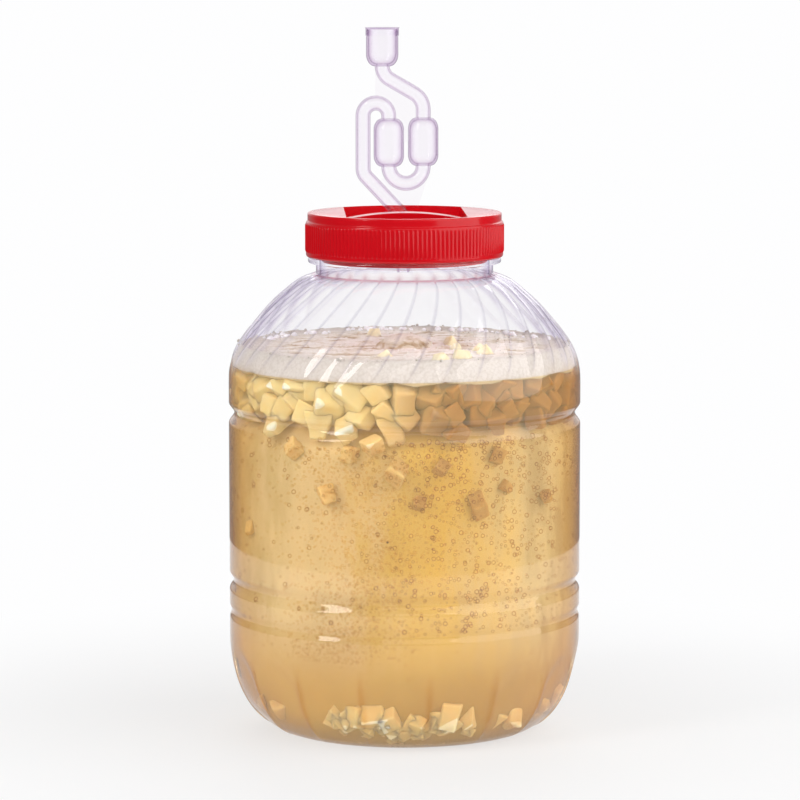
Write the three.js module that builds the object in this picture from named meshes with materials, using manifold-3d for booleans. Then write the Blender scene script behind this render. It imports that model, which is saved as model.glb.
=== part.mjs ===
// Fermentation jar with airlock: a clear fluted jar with a red screw lid, and an S-shaped bubbler in the lid.
// Millimetres, +Z up. The origin is on the jar's axis, on the plane that it stands on, and -Y is the front.
// Angles round the jar are measured from the front towards +X.

import * as THREE from 'three';
import { mergeVertices } from 'three/addons/utils/BufferGeometryUtils.js';
import Module from 'manifold-3d';

const wasm = await Module();
wasm.setup();

// Fits and cuts
const gap = 0.3;
const overrun = 1;

// Jar wall
const bodyRadius = 112.2;
const bodyWall = 1.8;
const footRadius = 75;
const footWidth = 8;
const puntHeight = 7;
const baseCornerHeight = 60;
const shoulderStart = 222;
const shoulderHeight = 70;
const shoulderFluteDepth = 1.7;
const baseFluteDepth = 2;
const grooves = [
  { height: 76, depth: 1.2, reach: 4 },
  { height: 95.5, depth: 2.6, reach: 5.5 },
  { height: 203, depth: 3.5, reach: 5.5 },
];

// Jar neck
const neckRadius = 56.3;
const neckWall = 2.3;
const neckHeight = 6.5;
const supportRingRadius = 61.4;
const supportRingThickness = 3.5;
const finishHeight = 16;

// Thread: the same lead on the neck and in the lid
const threadStarts = 3;
const threadLead = 18;
const threadDepth = 2.9;
const threadRidgeHeight = 2.2;
const threadCrestHeight = 1.2;
const threadRootOverlap = 0.6;
const threadFirstHeight = 5;
const threadPlay = 0.4;

// Lid
const lidHeight = 28;
const lidBoreRadius = 60.3;
const lidSkirtWall = 2.4;
const lidRibDepth = 0.7;
const lidRibCount = 140;
const lidRibBottom = 2.6;
const lidRibTop = 21.5;
const lidBandRadius = 61.7;
const lidEdgeRound = 1;
const lidPlate = 2;
const lidRimWall = 2.2;
const linerThickness = 1.4;
const linerMargin = 1;
const plugClearance = 1.2;
const plugWall = 2;
const plugDepth = 19;
const wellFloor = 2.5;
const wellHalfWidth = 38;
const panelThickness = 2;
const barRadius = 182;
const barThickness = 4.2;
const barWidth = 14;
const lidTurn = THREE.MathUtils.degToRad(2);

// Grommet and bubbler stem
const stemRadius = 4.15;
const stemLength = 36;
const grommetBack = 25;
const grommetWall = 1.8;
const grommetFlangeWidth = 1.4;
const grommetFlangeThickness = 2.8;
const stemReach = 6;

// Bubbler
const tubeRadius = 4.75;
const tubeWall = 1;
const cupX = -13.4;
const rightBulbX = 12.8;
const leftBulbX = -9.2;
const riserX = -25.7;
const cupRadius = 10.3;
const cupWall = 1.2;
const cupHeight = 23.4;
const cupRoundHeight = 7.6;
const cupRimStep = 0.55;
const cupRimHeight = 4.2;
const bulbRadius = 9.7;
const bulbLength = 30.6;
const bulbRoundHeight = 7;
const upperBendRadius = 9.6;
const lowerBendRadius = 12;
const bulbShift = 0.6;
const uBottomRise = 21;
const bulbRise = 11.4;
const topBendRise = 9.4;
const bendDrop = 5.2;
const elbowRadius = 8;
const footBendRadius = 6;
const diagonalAngle = THREE.MathUtils.degToRad(46.8);
const crossoverAngle = THREE.MathUtils.degToRad(30.2);
const webThickness = 1;

// Bubbler's dust cap
const dustCapWall = 0.6;
const dustCapPlate = 1;
const dustCapLip = 0.35;
const dustCapVentRadius = 0.9;

// Contents
const frothHeight = 232.5;
const frothThickness = 14;
const frothDomeRadius = 20;
const frothDomeHeight = 7.4;
const frothDomeForward = 8.4;
const fruitWidth = 20;
const fruitHeight = 15.8;
const fruitPeek = 5;
const floorFruitWidth = 17;
const floorFruitHeight = 12;

// Counts and shares
const aroundCount = 64;
const shoulderFluteCount = 32;
const baseFluteCount = 16;
const cornerSteps = 5;
const tubeSides = 10;
const bulbSides = 12;
const cupSides = 20;
const fluteFadeShare = 0.3;
const fluteStart = THREE.MathUtils.degToRad(8.2);
const shoulderSwirl = THREE.MathUtils.degToRad(22);
const puntShares = [[0, 1], [0.62, 0.8]];
const shoulderShares = [
  [1, 0], [0.985, 0.16], [0.92, 0.32], [0.8, 0.47], [0.62, 0.64], [0.42, 0.8], [0.217, 0.934], [0, 1],
];

// Heights that follow
const shoulderTop = shoulderStart + shoulderHeight;
const ringBottom = shoulderTop + neckHeight;
const ringTop = ringBottom + supportRingThickness;
const mouthHeight = ringTop + finishHeight;
const lidBottom = ringTop + gap;
const lidTop = lidBottom + lidHeight;
const lidPlateBottom = mouthHeight + gap + linerThickness + gap;
const ledgeHeight = lidPlateBottom + lidPlate;
const plugBottom = mouthHeight - plugDepth;
const wellBottom = plugBottom + wellFloor;

// Radii that follow
const neckBore = neckRadius - neckWall;
const plugRadius = neckBore - plugClearance;
const wellRadius = plugRadius - plugWall;
const skirtRadius = lidBoreRadius + lidSkirtWall;
const rimRadius = lidBandRadius - lidRimWall;

// The material of a piece: its colour, roughness and, for a clear one, how much of what is behind it is hidden.
function finish(color, roughness, opacity = 1) {
  return new THREE.MeshStandardMaterial({ color, roughness, metalness: 0, opacity, transparent: opacity < 1 });
}

const clearPlastic = () => finish('#eef0fa', 0.08, 0.3);

// A closed geometry as a solid that can be joined and cut.
function solidOf(geometry) {
  const bare = geometry.clone();
  bare.deleteAttribute('normal');
  bare.deleteAttribute('uv');
  const merged = mergeVertices(bare, 1e-4);
  const corners = merged.getIndex().array;
  const kept = [];
  for (let first = 0; first < corners.length; first += 3) {
    const [a, b, c] = corners.slice(first, first + 3);
    if (a !== b && b !== c && c !== a) {
      kept.push(a, b, c);
    }
  }
  const vertProperties = new Float32Array(merged.getAttribute('position').array);
  return new wasm.Manifold(new wasm.Mesh({ numProp: 3, vertProperties, triVerts: new Uint32Array(kept) }));
}

// A solid as a named mesh.
function meshOf(name, solid, material) {
  const { vertProperties, triVerts } = solid.getMesh();
  const geometry = new THREE.BufferGeometry();
  geometry.setAttribute('position', new THREE.BufferAttribute(new Float32Array(vertProperties), 3));
  geometry.setIndex(new THREE.BufferAttribute(new Uint32Array(triVerts), 1));
  geometry.computeVertexNormals();
  const mesh = new THREE.Mesh(geometry, material);
  mesh.name = name;
  return mesh;
}

// A solid of revolution about Z through x, from [radius, height] points listed upwards along its outside.
function turned(points, sides, x = 0) {
  const geometry = new THREE.LatheGeometry(points.map(([radius, height]) => new THREE.Vector2(radius, height)), sides);
  return solidOf(geometry.rotateX(Math.PI / 2).translate(x, 0, 0));
}

// An upright round or box-shaped solid between two heights.
function column(radius, bottom, top) {
  return turned([[0, bottom], [radius, bottom], [radius, top], [0, top]], aroundCount);
}

function block(sizeX, sizeY, bottom, top) {
  return solidOf(new THREE.BoxGeometry(sizeX, sizeY, top - bottom).translate(0, 0, (bottom + top) / 2));
}

// A flat outline in X and Z, made thick along Y and centred on the plane Y = 0.
function plate(outline, thickness) {
  const geometry = new THREE.ExtrudeGeometry(outline, { depth: thickness, bevelEnabled: false, curveSegments: 12 });
  return solidOf(geometry.rotateX(Math.PI / 2).translate(0, thickness / 2, 0));
}

// Jar

// A point of the jar's outline. slope is the angle of its outward direction, baseShare and fluteShare say how deep
// the flutes of the base and of the shoulder are there, and swirlShare how far the shoulder's swirl has turned.
function outlinePoint(radius, height, slope = 0, baseShare = 0, fluteShare = 0, swirlShare = 0) {
  return { radius, height, slope, baseShare, fluteShare, swirlShare };
}

// The outside of the jar from the middle of its floor up to the foot of its neck.
function jarOutline() {
  const flatStart = footRadius - footWidth;
  const outline = puntShares.map(([acrossShare, upShare]) => (
    outlinePoint(flatStart * acrossShare, puntHeight * upShare, -Math.PI / 2)
  ));
  outline.push(outlinePoint(flatStart, 0, -Math.PI / 2));
  for (let step = 0; step <= cornerSteps; step += 1) {
    const angle = (step * Math.PI) / (2 * cornerSteps);
    const radius = footRadius + (bodyRadius - footRadius) * Math.sin(angle);
    const height = baseCornerHeight * (1 - Math.cos(angle));
    outline.push(outlinePoint(radius, height, angle - Math.PI / 2, Math.sin(2 * angle)));
  }
  for (const { height, depth, reach } of grooves) {
    outline.push(outlinePoint(bodyRadius, height - reach));
    outline.push(outlinePoint(bodyRadius - depth, height));
    outline.push(outlinePoint(bodyRadius, height + reach));
  }
  for (const [acrossShare, upShare] of shoulderShares) {
    const radius = neckRadius + (bodyRadius - neckRadius) * acrossShare;
    const height = shoulderStart + shoulderHeight * upShare;
    const fluteShare = THREE.MathUtils.smoothstep(upShare, 0, fluteFadeShare);
    outline.push(outlinePoint(radius, height, (upShare * Math.PI) / 2, 0, fluteShare, upShare));
  }
  return outline;
}

// The same outline moved inwards by a distance, square to the wall.
function inset(outline, distance) {
  return outline.map((point, index) => {
    const before = outline[Math.max(index - 1, 0)];
    const after = outline[Math.min(index + 1, outline.length - 1)];
    const inOf = (from, to) => {
      const along = new THREE.Vector2(to.radius - from.radius, to.height - from.height).normalize();
      return new THREE.Vector2(-along.y, along.x);
    };
    const first = before === point ? inOf(point, after) : inOf(before, point);
    const second = after === point ? inOf(before, point) : inOf(point, after);
    const step = first.clone().add(second).multiplyScalar(distance / (1 + first.dot(second)));
    const radius = before === point ? 0 : point.radius + step.x;
    return { ...point, radius, height: point.height + step.y };
  });
}

// A solid of revolution with the shoulder's and the base's flutes pressed in, and the shoulder's swirl.
function fluted(outline) {
  const profile = outline.map(({ radius, height }) => new THREE.Vector2(radius, height));
  const geometry = new THREE.LatheGeometry(profile, aroundCount).rotateX(Math.PI / 2);
  const position = geometry.getAttribute('position');
  for (let index = 0; index < position.count; index += 1) {
    const { radius, height, slope, baseShare, fluteShare, swirlShare } = outline[index % outline.length];
    const angle = (2 * Math.PI * Math.floor(index / outline.length)) / aroundCount;
    const pressed = (shoulderFluteDepth * fluteShare * (1 + Math.cos(shoulderFluteCount * angle))) / 2
      + (baseFluteDepth * baseShare * (1 - Math.cos(baseFluteCount * angle))) / 2;
    const turn = angle + fluteStart + shoulderSwirl * swirlShare;
    const across = radius === 0 ? 0 : radius - pressed * Math.cos(slope);
    position.setXYZ(index, across * Math.sin(turn), -across * Math.cos(turn), height - pressed * Math.sin(slope));
  }
  return solidOf(geometry);
}

// The plain neck above the shoulder, closed on the axis.
function neckPoints(radius, top) {
  return [outlinePoint(radius, top, 0, 0, 0, 1), outlinePoint(0, top, 0, 0, 0, 1)];
}

// A helical stretch of thread. Its section stays in the plane through the axis, so both threads run true.
class ThreadPath extends THREE.Curve {
  constructor(radius, firstAngle, sweep, firstHeight) {
    super();
    Object.assign(this, { radius, firstAngle, sweep, firstHeight });
  }

  angleAt(share) {
    return this.firstAngle + this.sweep * share;
  }

  getPoint(share, target = new THREE.Vector3()) {
    const angle = this.angleAt(share);
    const climb = (threadLead * this.sweep * share) / (2 * Math.PI);
    return target.set(this.radius * Math.cos(angle), this.radius * Math.sin(angle), this.firstHeight + climb);
  }

  getPointAt(share, target) {
    return this.getPoint(share, target);
  }

  computeFrenetFrames(steps) {
    const angles = Array.from({ length: steps + 1 }, (unused, step) => this.angleAt(step / steps));
    return {
      tangents: angles.map((angle) => new THREE.Vector3(-Math.sin(angle), Math.cos(angle), 0)),
      normals: angles.map((angle) => new THREE.Vector3(Math.cos(angle), Math.sin(angle), 0)),
      binormals: angles.map(() => new THREE.Vector3(0, 0, -1)),
    };
  }
}

// The ridges of all the thread's starts. side is 1 for ridges that stand outwards and -1 for inwards.
function threadRidges(rootRadius, side, firstHeight, delay, sweep) {
  const root = -side * threadRootOverlap;
  const crest = side * threadDepth;
  const section = new THREE.Shape([
    new THREE.Vector2(root, -threadRidgeHeight / 2),
    new THREE.Vector2(crest, -threadCrestHeight / 2),
    new THREE.Vector2(crest, threadCrestHeight / 2),
    new THREE.Vector2(root, threadRidgeHeight / 2),
  ]);
  const steps = Math.round((sweep * aroundCount) / (4 * Math.PI));
  const climb = (threadLead * delay) / (2 * Math.PI);
  return Array.from({ length: threadStarts }, (unused, start) => {
    const firstAngle = (start * 2 * Math.PI) / threadStarts + delay;
    const extrudePath = new ThreadPath(rootRadius, firstAngle, sweep, firstHeight + climb);
    return solidOf(new THREE.ExtrudeGeometry(section, { steps, extrudePath, bevelEnabled: false }));
  });
}

const jarSweep = THREE.MathUtils.degToRad(130);
const lidSweep = THREE.MathUtils.degToRad(95);
const lidThreadDelay = THREE.MathUtils.degToRad(15);
const jarThreadHeight = ringTop + threadFirstHeight;
const lidThreadHeight = jarThreadHeight - threadRidgeHeight - threadPlay;

function jarSolid() {
  const outside = jarOutline();
  const inside = inset(outside, bodyWall);
  inside[inside.length - 1].radius = neckBore;
  const shell = fluted([...outside, ...neckPoints(neckRadius, mouthHeight + overrun)]);
  const hollow = fluted([...inside, ...neckPoints(neckBore, mouthHeight + 2 * overrun)]);
  const edge = supportRingThickness / 4;
  const ring = turned([
    [0, ringBottom], [supportRingRadius - edge, ringBottom], [supportRingRadius, ringBottom + edge],
    [supportRingRadius, ringTop - edge], [supportRingRadius - edge, ringTop], [0, ringTop],
  ], aroundCount);
  const above = block(4 * bodyRadius, 4 * bodyRadius, mouthHeight, mouthHeight + 4 * overrun);
  const ridges = threadRidges(neckRadius, 1, jarThreadHeight, 0, jarSweep);
  return wasm.Manifold.union([shell, ring, ...ridges]).subtract(hollow).subtract(above);
}

// Lid

// A ring-shaped slice of the skirt with the grip's ribs on it.
function ribBand() {
  const outline = new THREE.Shape(Array.from({ length: 2 * lidRibCount }, (unused, index) => {
    const angle = (index * Math.PI) / lidRibCount;
    const radius = index % 2 === 0 ? skirtRadius + lidRibDepth : skirtRadius + gap / 2;
    return new THREE.Vector2(radius * Math.cos(angle), radius * Math.sin(angle));
  }));
  const inner = skirtRadius - lidSkirtWall / 2;
  outline.holes.push(new THREE.Path().absarc(0, 0, inner, 0, 2 * Math.PI, true));
  const options = { depth: lidRibTop - lidRibBottom, bevelEnabled: false, curveSegments: aroundCount / 2 };
  return solidOf(new THREE.ExtrudeGeometry(outline, options).translate(0, 0, lidBottom + lidRibBottom));
}

// The arched grip bar across the well. Its crest is level with the rim.
function gripBar() {
  const halfSpan = wellHalfWidth + plugWall / 2;
  const innerRadius = barRadius - barThickness;
  const outerAngle = Math.asin(halfSpan / barRadius);
  const innerAngle = Math.asin(halfSpan / innerRadius);
  const centre = lidTop - barRadius;
  const outline = new THREE.Shape();
  outline.absarc(0, centre, barRadius, Math.PI / 2 - outerAngle, Math.PI / 2 + outerAngle, false);
  outline.absarc(0, centre, innerRadius, Math.PI / 2 + innerAngle, Math.PI / 2 - innerAngle, true);
  return plate(outline, barWidth);
}

function lidSolid() {
  const blank = turned([
    [0, plugBottom], [plugRadius, plugBottom], [plugRadius, lidPlateBottom], [lidBoreRadius, lidPlateBottom],
    [lidBoreRadius, lidBottom], [skirtRadius - lidEdgeRound, lidBottom], [skirtRadius, lidBottom + lidEdgeRound],
    [skirtRadius, lidBottom + lidRibTop + lidEdgeRound], [lidBandRadius, lidBottom + lidRibTop + lidEdgeRound],
    [lidBandRadius, lidTop - lidEdgeRound / 2], [lidBandRadius - lidEdgeRound / 2, lidTop], [0, lidTop],
  ], aroundCount);
  const above = lidTop + overrun;
  const wellStrip = block(2 * wellHalfWidth, 2 * lidBandRadius, wellBottom, above);
  const well = column(wellRadius, wellBottom, above).intersect(wellStrip);
  const ledgeCut = column(rimRadius, ledgeHeight, above).intersect(wellStrip);
  const panelBottom = lidTop - panelThickness;
  const coreStrip = block(2 * (wellHalfWidth + plugWall), 2 * lidBandRadius, plugBottom - 2 * overrun, above);
  const panelPockets = column(wellRadius, plugBottom - overrun, panelBottom).subtract(coreStrip);
  const holeRadius = stemRadius + gap + grommetWall + gap;
  const hole = column(holeRadius, plugBottom - overrun, wellBottom + overrun).translate([0, grommetBack, 0]);
  const ridges = threadRidges(lidBoreRadius, -1, lidThreadHeight, lidThreadDelay, lidSweep);
  return wasm.Manifold.union([blank, ribBand(), ...ridges])
    .subtract(well).subtract(ledgeCut).subtract(panelPockets).add(gripBar()).subtract(hole);
}

// The sealing ring between the lid's plate and the jar's mouth.
function linerSolid() {
  const bottom = mouthHeight + gap;
  const inner = plugRadius + gap;
  const outer = neckRadius + linerMargin;
  return turned([
    [inner, bottom], [outer, bottom], [outer, bottom + linerThickness], [inner, bottom + linerThickness],
    [inner, bottom],
  ], aroundCount);
}

// Grommet, about its own axis: a waist in the lid's hole and a flange on each side of the floor.
function grommetSolid() {
  const bore = stemRadius + gap;
  const waist = bore + grommetWall;
  const flange = waist + gap + grommetFlangeWidth;
  const lower = plugBottom - gap;
  const upper = wellBottom + gap;
  return turned([
    [bore, lower - grommetFlangeThickness], [flange, lower - grommetFlangeThickness], [flange, lower],
    [waist, lower], [waist, upper], [flange, upper], [waist, upper + grommetFlangeThickness],
    [bore, upper + grommetFlangeThickness], [bore, lower - grommetFlangeThickness],
  ], 24);
}

// Bubbler, about its stem's axis

// A route in the plane Y = 0, sampled at the ends of its straights and at even steps round its bends.
class BentRoute extends THREE.Curve {
  constructor(corners) {
    super();
    this.stations = [];
    corners.forEach((corner, index) => this.addCorner(corners[index - 1], corner, corners[index + 1]));
  }

  addCorner(before, corner, after) {
    const here = new THREE.Vector3(corner.x, 0, corner.z);
    const incoming = before && here.clone().sub(new THREE.Vector3(before.x, 0, before.z)).normalize();
    const outgoing = after && new THREE.Vector3(after.x, 0, after.z).sub(here).normalize();
    if (!before || !after) {
      this.stations.push({ point: here, tangent: incoming || outgoing });
      return;
    }
    const turn = incoming.angleTo(outgoing);
    const inward = outgoing.clone().addScaledVector(incoming, -Math.cos(turn)).normalize();
    const start = here.clone().addScaledVector(incoming, -corner.bend * Math.tan(turn / 2));
    const steps = Math.ceil(turn / (Math.PI / 8));
    for (let step = 0; step <= steps; step += 1) {
      const angle = (turn * step) / steps;
      const point = start.clone().addScaledVector(incoming, corner.bend * Math.sin(angle))
        .addScaledVector(inward, corner.bend * (1 - Math.cos(angle)));
      const tangent = incoming.clone().multiplyScalar(Math.cos(angle)).addScaledVector(inward, Math.sin(angle));
      const last = this.stations[this.stations.length - 1];
      if (last.point.distanceTo(point) > webThickness / 10) {
        this.stations.push({ point, tangent });
      }
    }
  }

  stationAt(share) {
    return this.stations[Math.round(share * (this.stations.length - 1))];
  }

  getPoint(share, target = new THREE.Vector3()) {
    return target.copy(this.stationAt(share).point);
  }

  getPointAt(share, target) {
    return this.getPoint(share, target);
  }

  getTangentAt(share, target = new THREE.Vector3()) {
    return target.copy(this.stationAt(share).tangent);
  }
}

// A round bar along a route.
function rod(route, radius, sides) {
  const section = new THREE.Shape(Array.from({ length: sides }, (unused, side) => {
    const angle = (2 * Math.PI * side) / sides;
    return new THREE.Vector2(radius * Math.cos(angle), radius * Math.sin(angle));
  }));
  const options = { steps: route.stations.length - 1, extrudePath: route, bevelEnabled: false };
  return solidOf(new THREE.ExtrudeGeometry(section, options));
}

// Heights of the bubbler, from the stem's end up
const stemEnd = plugBottom - gap - grommetFlangeThickness - stemReach;
const stemTop = stemEnd + stemLength;
const footCorner = { x: 0, z: stemTop, bend: footBendRadius };
const elbow = { x: riserX, z: stemTop - riserX * Math.tan(diagonalAngle), bend: elbowRadius };
const uBottom = stemTop + uBottomRise;
const uRadius = (rightBulbX - leftBulbX) / 2;
const bulbBottom = uBottom + bulbRise;
const topBendRadius = (leftBulbX - riserX) / 2;
const topBendTop = bulbBottom + bulbLength + topBendRise;
const crossoverLow = bulbBottom + bulbLength + bendDrop + lowerBendRadius * Math.tan((Math.PI / 2 - crossoverAngle) / 2);
const crossoverHigh = crossoverLow + (rightBulbX - cupX) * Math.tan(crossoverAngle);
const cupBottom = crossoverHigh + upperBendRadius * Math.tan((Math.PI / 2 - crossoverAngle) / 2);
const cupTop = cupBottom + cupHeight;

// The tube's centre line, from inside the cup to a height below its last bend.
function tubeRoute(firstHeight, lastHeight) {
  return new BentRoute([
    { x: cupX, z: firstHeight },
    { x: cupX, z: crossoverHigh, bend: upperBendRadius },
    { x: rightBulbX, z: crossoverLow, bend: lowerBendRadius },
    { x: rightBulbX, z: uBottom, bend: uRadius },
    { x: leftBulbX, z: uBottom, bend: uRadius },
    { x: leftBulbX, z: topBendTop, bend: topBendRadius },
    { x: riserX, z: topBendTop, bend: topBendRadius },
    elbow,
    footCorner,
    { x: 0, z: lastHeight },
  ]);
}

// A quarter-round rise from one radius to another, as [radius, height] points.
function roundRise(fromRadius, toRadius, fromHeight, height, steps) {
  return Array.from({ length: steps + 1 }, (unused, step) => {
    const angle = (step * Math.PI) / (2 * steps);
    return [fromRadius + (toRadius - fromRadius) * Math.sin(angle), fromHeight + height * (1 - Math.cos(angle))];
  });
}

// A bulb, or its hollow when wall is the thickness to leave.
function bulb(x, bottom, wall) {
  const low = bottom + wall;
  const high = bottom + bulbLength - wall;
  const rise = roundRise(tubeRadius - wall, bulbRadius - wall, low, bulbRoundHeight, 4);
  const fall = rise.map(([radius, height]) => [radius, low + high - height]).reverse();
  return turned([[0, low], ...rise, ...fall, [0, high]], bulbSides, x);
}

function cup(wall, top) {
  const low = cupBottom + wall;
  const rise = roundRise(tubeRadius - tubeWall * Math.sign(wall), cupRadius - wall, low, cupRoundHeight, 4);
  return turned([[0, low], ...rise, [cupRadius - wall, top], [0, top]], cupSides, cupX);
}

// The step in the cup's rim that the dust cap goes over.
function rimCut() {
  const bottom = cupTop - cupRimHeight;
  const top = cupTop + overrun;
  const inner = cupRadius - cupRimStep;
  const outer = cupRadius + overrun;
  return turned([[inner, bottom], [outer, bottom], [outer, top], [inner, top], [inner, bottom]], cupSides, cupX);
}

// The thin plates between the tubes.
function webs() {
  const middle = (leftBulbX + rightBulbX) / 2;
  const upper = new THREE.Shape([
    [cupX - tubeRadius + webThickness / 3, cupBottom + webThickness],
    [cupX - tubeRadius + webThickness / 3, topBendTop],
    [leftBulbX, bulbBottom + bulbLength],
    [leftBulbX + bulbRadius / 2, bulbBottom + bulbLength / 2],
    [middle, bulbBottom + bulbLength / 2],
    [rightBulbX - bulbRadius / 2, bulbBottom + bulbLength / 2],
    [rightBulbX, bulbBottom + bulbLength],
    [rightBulbX, crossoverLow],
    [cupX, crossoverHigh],
    [cupX, cupBottom + webThickness],
  ].map(([x, z]) => new THREE.Vector2(x, z)));
  const lower = new THREE.Shape([
    [rightBulbX + tubeRadius / 2, uBottom + tubeRadius / 2],
    [2 * stemRadius, stemTop + tubeRadius / 2],
    [stemRadius - webThickness, stemTop - tubeRadius],
    [0, stemTop],
    [elbow.x * 0.75, stemTop - elbow.x * 0.75 * Math.tan(diagonalAngle)],
    [leftBulbX, uBottom + tubeRadius],
    [middle, uBottom],
  ].map(([x, z]) => new THREE.Vector2(x, z)));
  return [plate(upper, webThickness), plate(lower, webThickness)];
}

function bubblerSolid() {
  const stemStart = stemTop - 2 * footBendRadius * Math.tan(diagonalAngle / 2);
  const stem = turned([
    [0, stemEnd], [stemRadius, stemEnd], [stemRadius, stemStart - footBendRadius], [tubeRadius, stemStart],
    [0, stemStart],
  ], 2 * tubeSides);
  const bore = tubeRadius - tubeWall;
  const stemBore = stemRadius - tubeWall;
  const outer = wasm.Manifold.union([
    rod(tubeRoute(cupBottom + overrun, stemStart - overrun), tubeRadius, tubeSides),
    stem, cup(0, cupTop), bulb(rightBulbX, bulbBottom, 0), bulb(leftBulbX, bulbBottom - bulbShift, 0), ...webs(),
  ]);
  const inner = wasm.Manifold.union([
    rod(tubeRoute(cupBottom + 2 * overrun, stemStart - 2 * overrun), bore, 8),
    turned([
      [0, stemEnd - overrun], [stemBore, stemEnd - overrun], [stemBore, stemStart - overrun],
      [0, stemStart - overrun],
    ], 12),
    cup(cupWall, cupTop + overrun), bulb(rightBulbX, bulbBottom, tubeWall),
    bulb(leftBulbX, bulbBottom - bulbShift, tubeWall),
  ]);
  return outer.subtract(inner).subtract(rimCut());
}

// The push-on cap of the cup, with the vent that the gas leaves by.
function dustCapSolid() {
  const bottom = cupTop - cupRimHeight + gap;
  const plateBottom = cupTop + gap;
  const top = plateBottom + dustCapPlate;
  const inner = cupRadius - cupRimStep + gap;
  const outer = inner + dustCapWall;
  return turned([
    [dustCapVentRadius, plateBottom], [inner, plateBottom], [inner, bottom], [outer, bottom],
    [outer, top - dustCapPlate / 2], [outer + dustCapLip, top], [dustCapVentRadius, top],
    [dustCapVentRadius, plateBottom],
  ], cupSides, cupX);
}

// Contents

// A repeatable value between -1 and 1 for each piece and each use.
function varied(index, use) {
  const wave = Math.sin(index * 12.9898 + use * 78.233) * 43758.5453;
  return 2 * (wave - Math.floor(wave)) - 1;
}

// A cut piece of fruit: a tapered block with four or five sides. growth makes the pocket round it, and dig takes
// the pocket further down.
function fruitGeometry(index, width, height, growth, dig) {
  const sides = 4 + (index % 2);
  const tall = height * (0.9 + 0.1 * varied(index, 1));
  const bottomRadius = (width / 2) * (0.95 + 0.05 * varied(index, 2));
  const topRadius = bottomRadius * (0.78 + 0.12 * varied(index, 3));
  const flare = (bottomRadius - topRadius) / tall;
  const rim = growth / Math.cos(Math.PI / sides);
  const geometry = new THREE.CylinderGeometry(
    topRadius - flare * growth + rim,
    bottomRadius + flare * (growth + dig) + rim,
    tall + 2 * growth + dig,
    sides,
  );
  return geometry.rotateX(Math.PI / 2).translate(0, 0, -dig / 2);
}

// Places a piece and its pocket. level is the height of its top, or of its bottom where fromBottom is true.
function fruitPair(index, width, height, dig, tilt, angle, distance, level, fromBottom) {
  const turn = new THREE.Matrix4().makeRotationFromEuler(new THREE.Euler(
    tilt * varied(index, 4),
    tilt * varied(index, 5),
    Math.PI * varied(index, 6),
    'ZXY',
  ));
  const piece = fruitGeometry(index, width, height, 0, 0).applyMatrix4(turn);
  const pocket = fruitGeometry(index, width, height, gap, dig).applyMatrix4(turn);
  piece.computeBoundingBox();
  const rise = level - (fromBottom ? piece.boundingBox.min.z : piece.boundingBox.max.z);
  const place = [distance * Math.sin(angle), -distance * Math.cos(angle), rise];
  return { piece: solidOf(piece.translate(...place)), pocket: solidOf(pocket.translate(...place)) };
}

// The jar's inner radius at a height above its base corner, where the shoulder's flutes are deepest.
function innerRadius(height) {
  const line = inset(jarOutline(), bodyWall + gap).map((point) => {
    const pressed = shoulderFluteDepth * point.fluteShare;
    return [point.radius - pressed * Math.cos(point.slope), point.height - pressed * Math.sin(point.slope)];
  });
  line.push([neckBore - gap, mouthHeight]);
  const above = line.findIndex(([, level]) => level > height);
  const [[lowRadius, low], [highRadius, high]] = line.slice(above - 1, above + 1);
  return THREE.MathUtils.mapLinear(height, low, high, lowRadius, highRadius);
}

// The room that the jar leaves at the raft's top. The raft's rings, its pieces and the foam's mound follow it, so
// they crowd together where the jar narrows.
const room = innerRadius(frothHeight + 2 * fruitPeek);
const crowding = room / (bodyRadius - bodyWall);

// Two rings of fruit that float under the froth and reach up into it.
const raftRings = [
  { count: 20, distanceShare: 0.87 },
  { count: 10, distanceShare: 0.51 },
];
const floorFruitAngles = [-46, -23, 0, 21, 43, 160].map(THREE.MathUtils.degToRad);
const fruitTilt = THREE.MathUtils.degToRad(24);
const floorFruitTilt = THREE.MathUtils.degToRad(4);

function raftFruit() {
  const pairs = [];
  for (const { count, distanceShare } of raftRings) {
    for (let place = 0; place < count; place += 1) {
      const index = pairs.length;
      const angle = (2 * Math.PI * place) / count;
      const level = frothHeight + fruitPeek * (1 + varied(index, 7) / 2);
      const distance = room * distanceShare;
      const width = fruitWidth * crowding;
      pairs.push(fruitPair(index, width, fruitHeight * crowding, 0, fruitTilt, angle, distance, level, false));
    }
  }
  return pairs;
}

// The highest that the floor gets inside the jar's rounded and fluted base corner.
function floorHeight(radius) {
  const angle = Math.asin(Math.max((radius - footRadius) / (bodyRadius - footRadius), 0));
  const slope = Math.atan2(baseCornerHeight * Math.sin(angle), (bodyRadius - footRadius) * Math.cos(angle));
  const inwards = bodyWall + baseFluteDepth * Math.sin(2 * angle);
  return baseCornerHeight * (1 - Math.cos(angle)) + inwards / Math.cos(slope);
}

function floorFruit() {
  const distance = footRadius - footWidth / 3;
  const level = floorHeight(distance + floorFruitWidth / 2) + 2 * gap;
  const dig = 2 * bodyWall;
  return floorFruitAngles.map((angle, index) => (
    fruitPair(index + 40, floorFruitWidth, floorFruitHeight, dig, floorFruitTilt, angle, distance, level, true)
  ));
}

// Everything inside the jar's wall, from its floor to its neck.
function fillSolid() {
  const outline = inset(jarOutline(), bodyWall + gap);
  return fluted([...outline, ...neckPoints(neckBore - gap, mouthHeight)]);
}

function frothSolid(fill, pockets) {
  const top = frothHeight + frothThickness;
  const layer = fill.intersect(block(4 * bodyRadius, 4 * bodyRadius, frothHeight, top));
  const domeRadius = frothDomeRadius * crowding;
  const dome = new THREE.SphereGeometry(1, 16, 8).scale(domeRadius, domeRadius, frothDomeHeight * crowding);
  return layer.add(solidOf(dome.translate(0, -frothDomeForward * crowding, top))).subtract(pockets);
}

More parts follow.
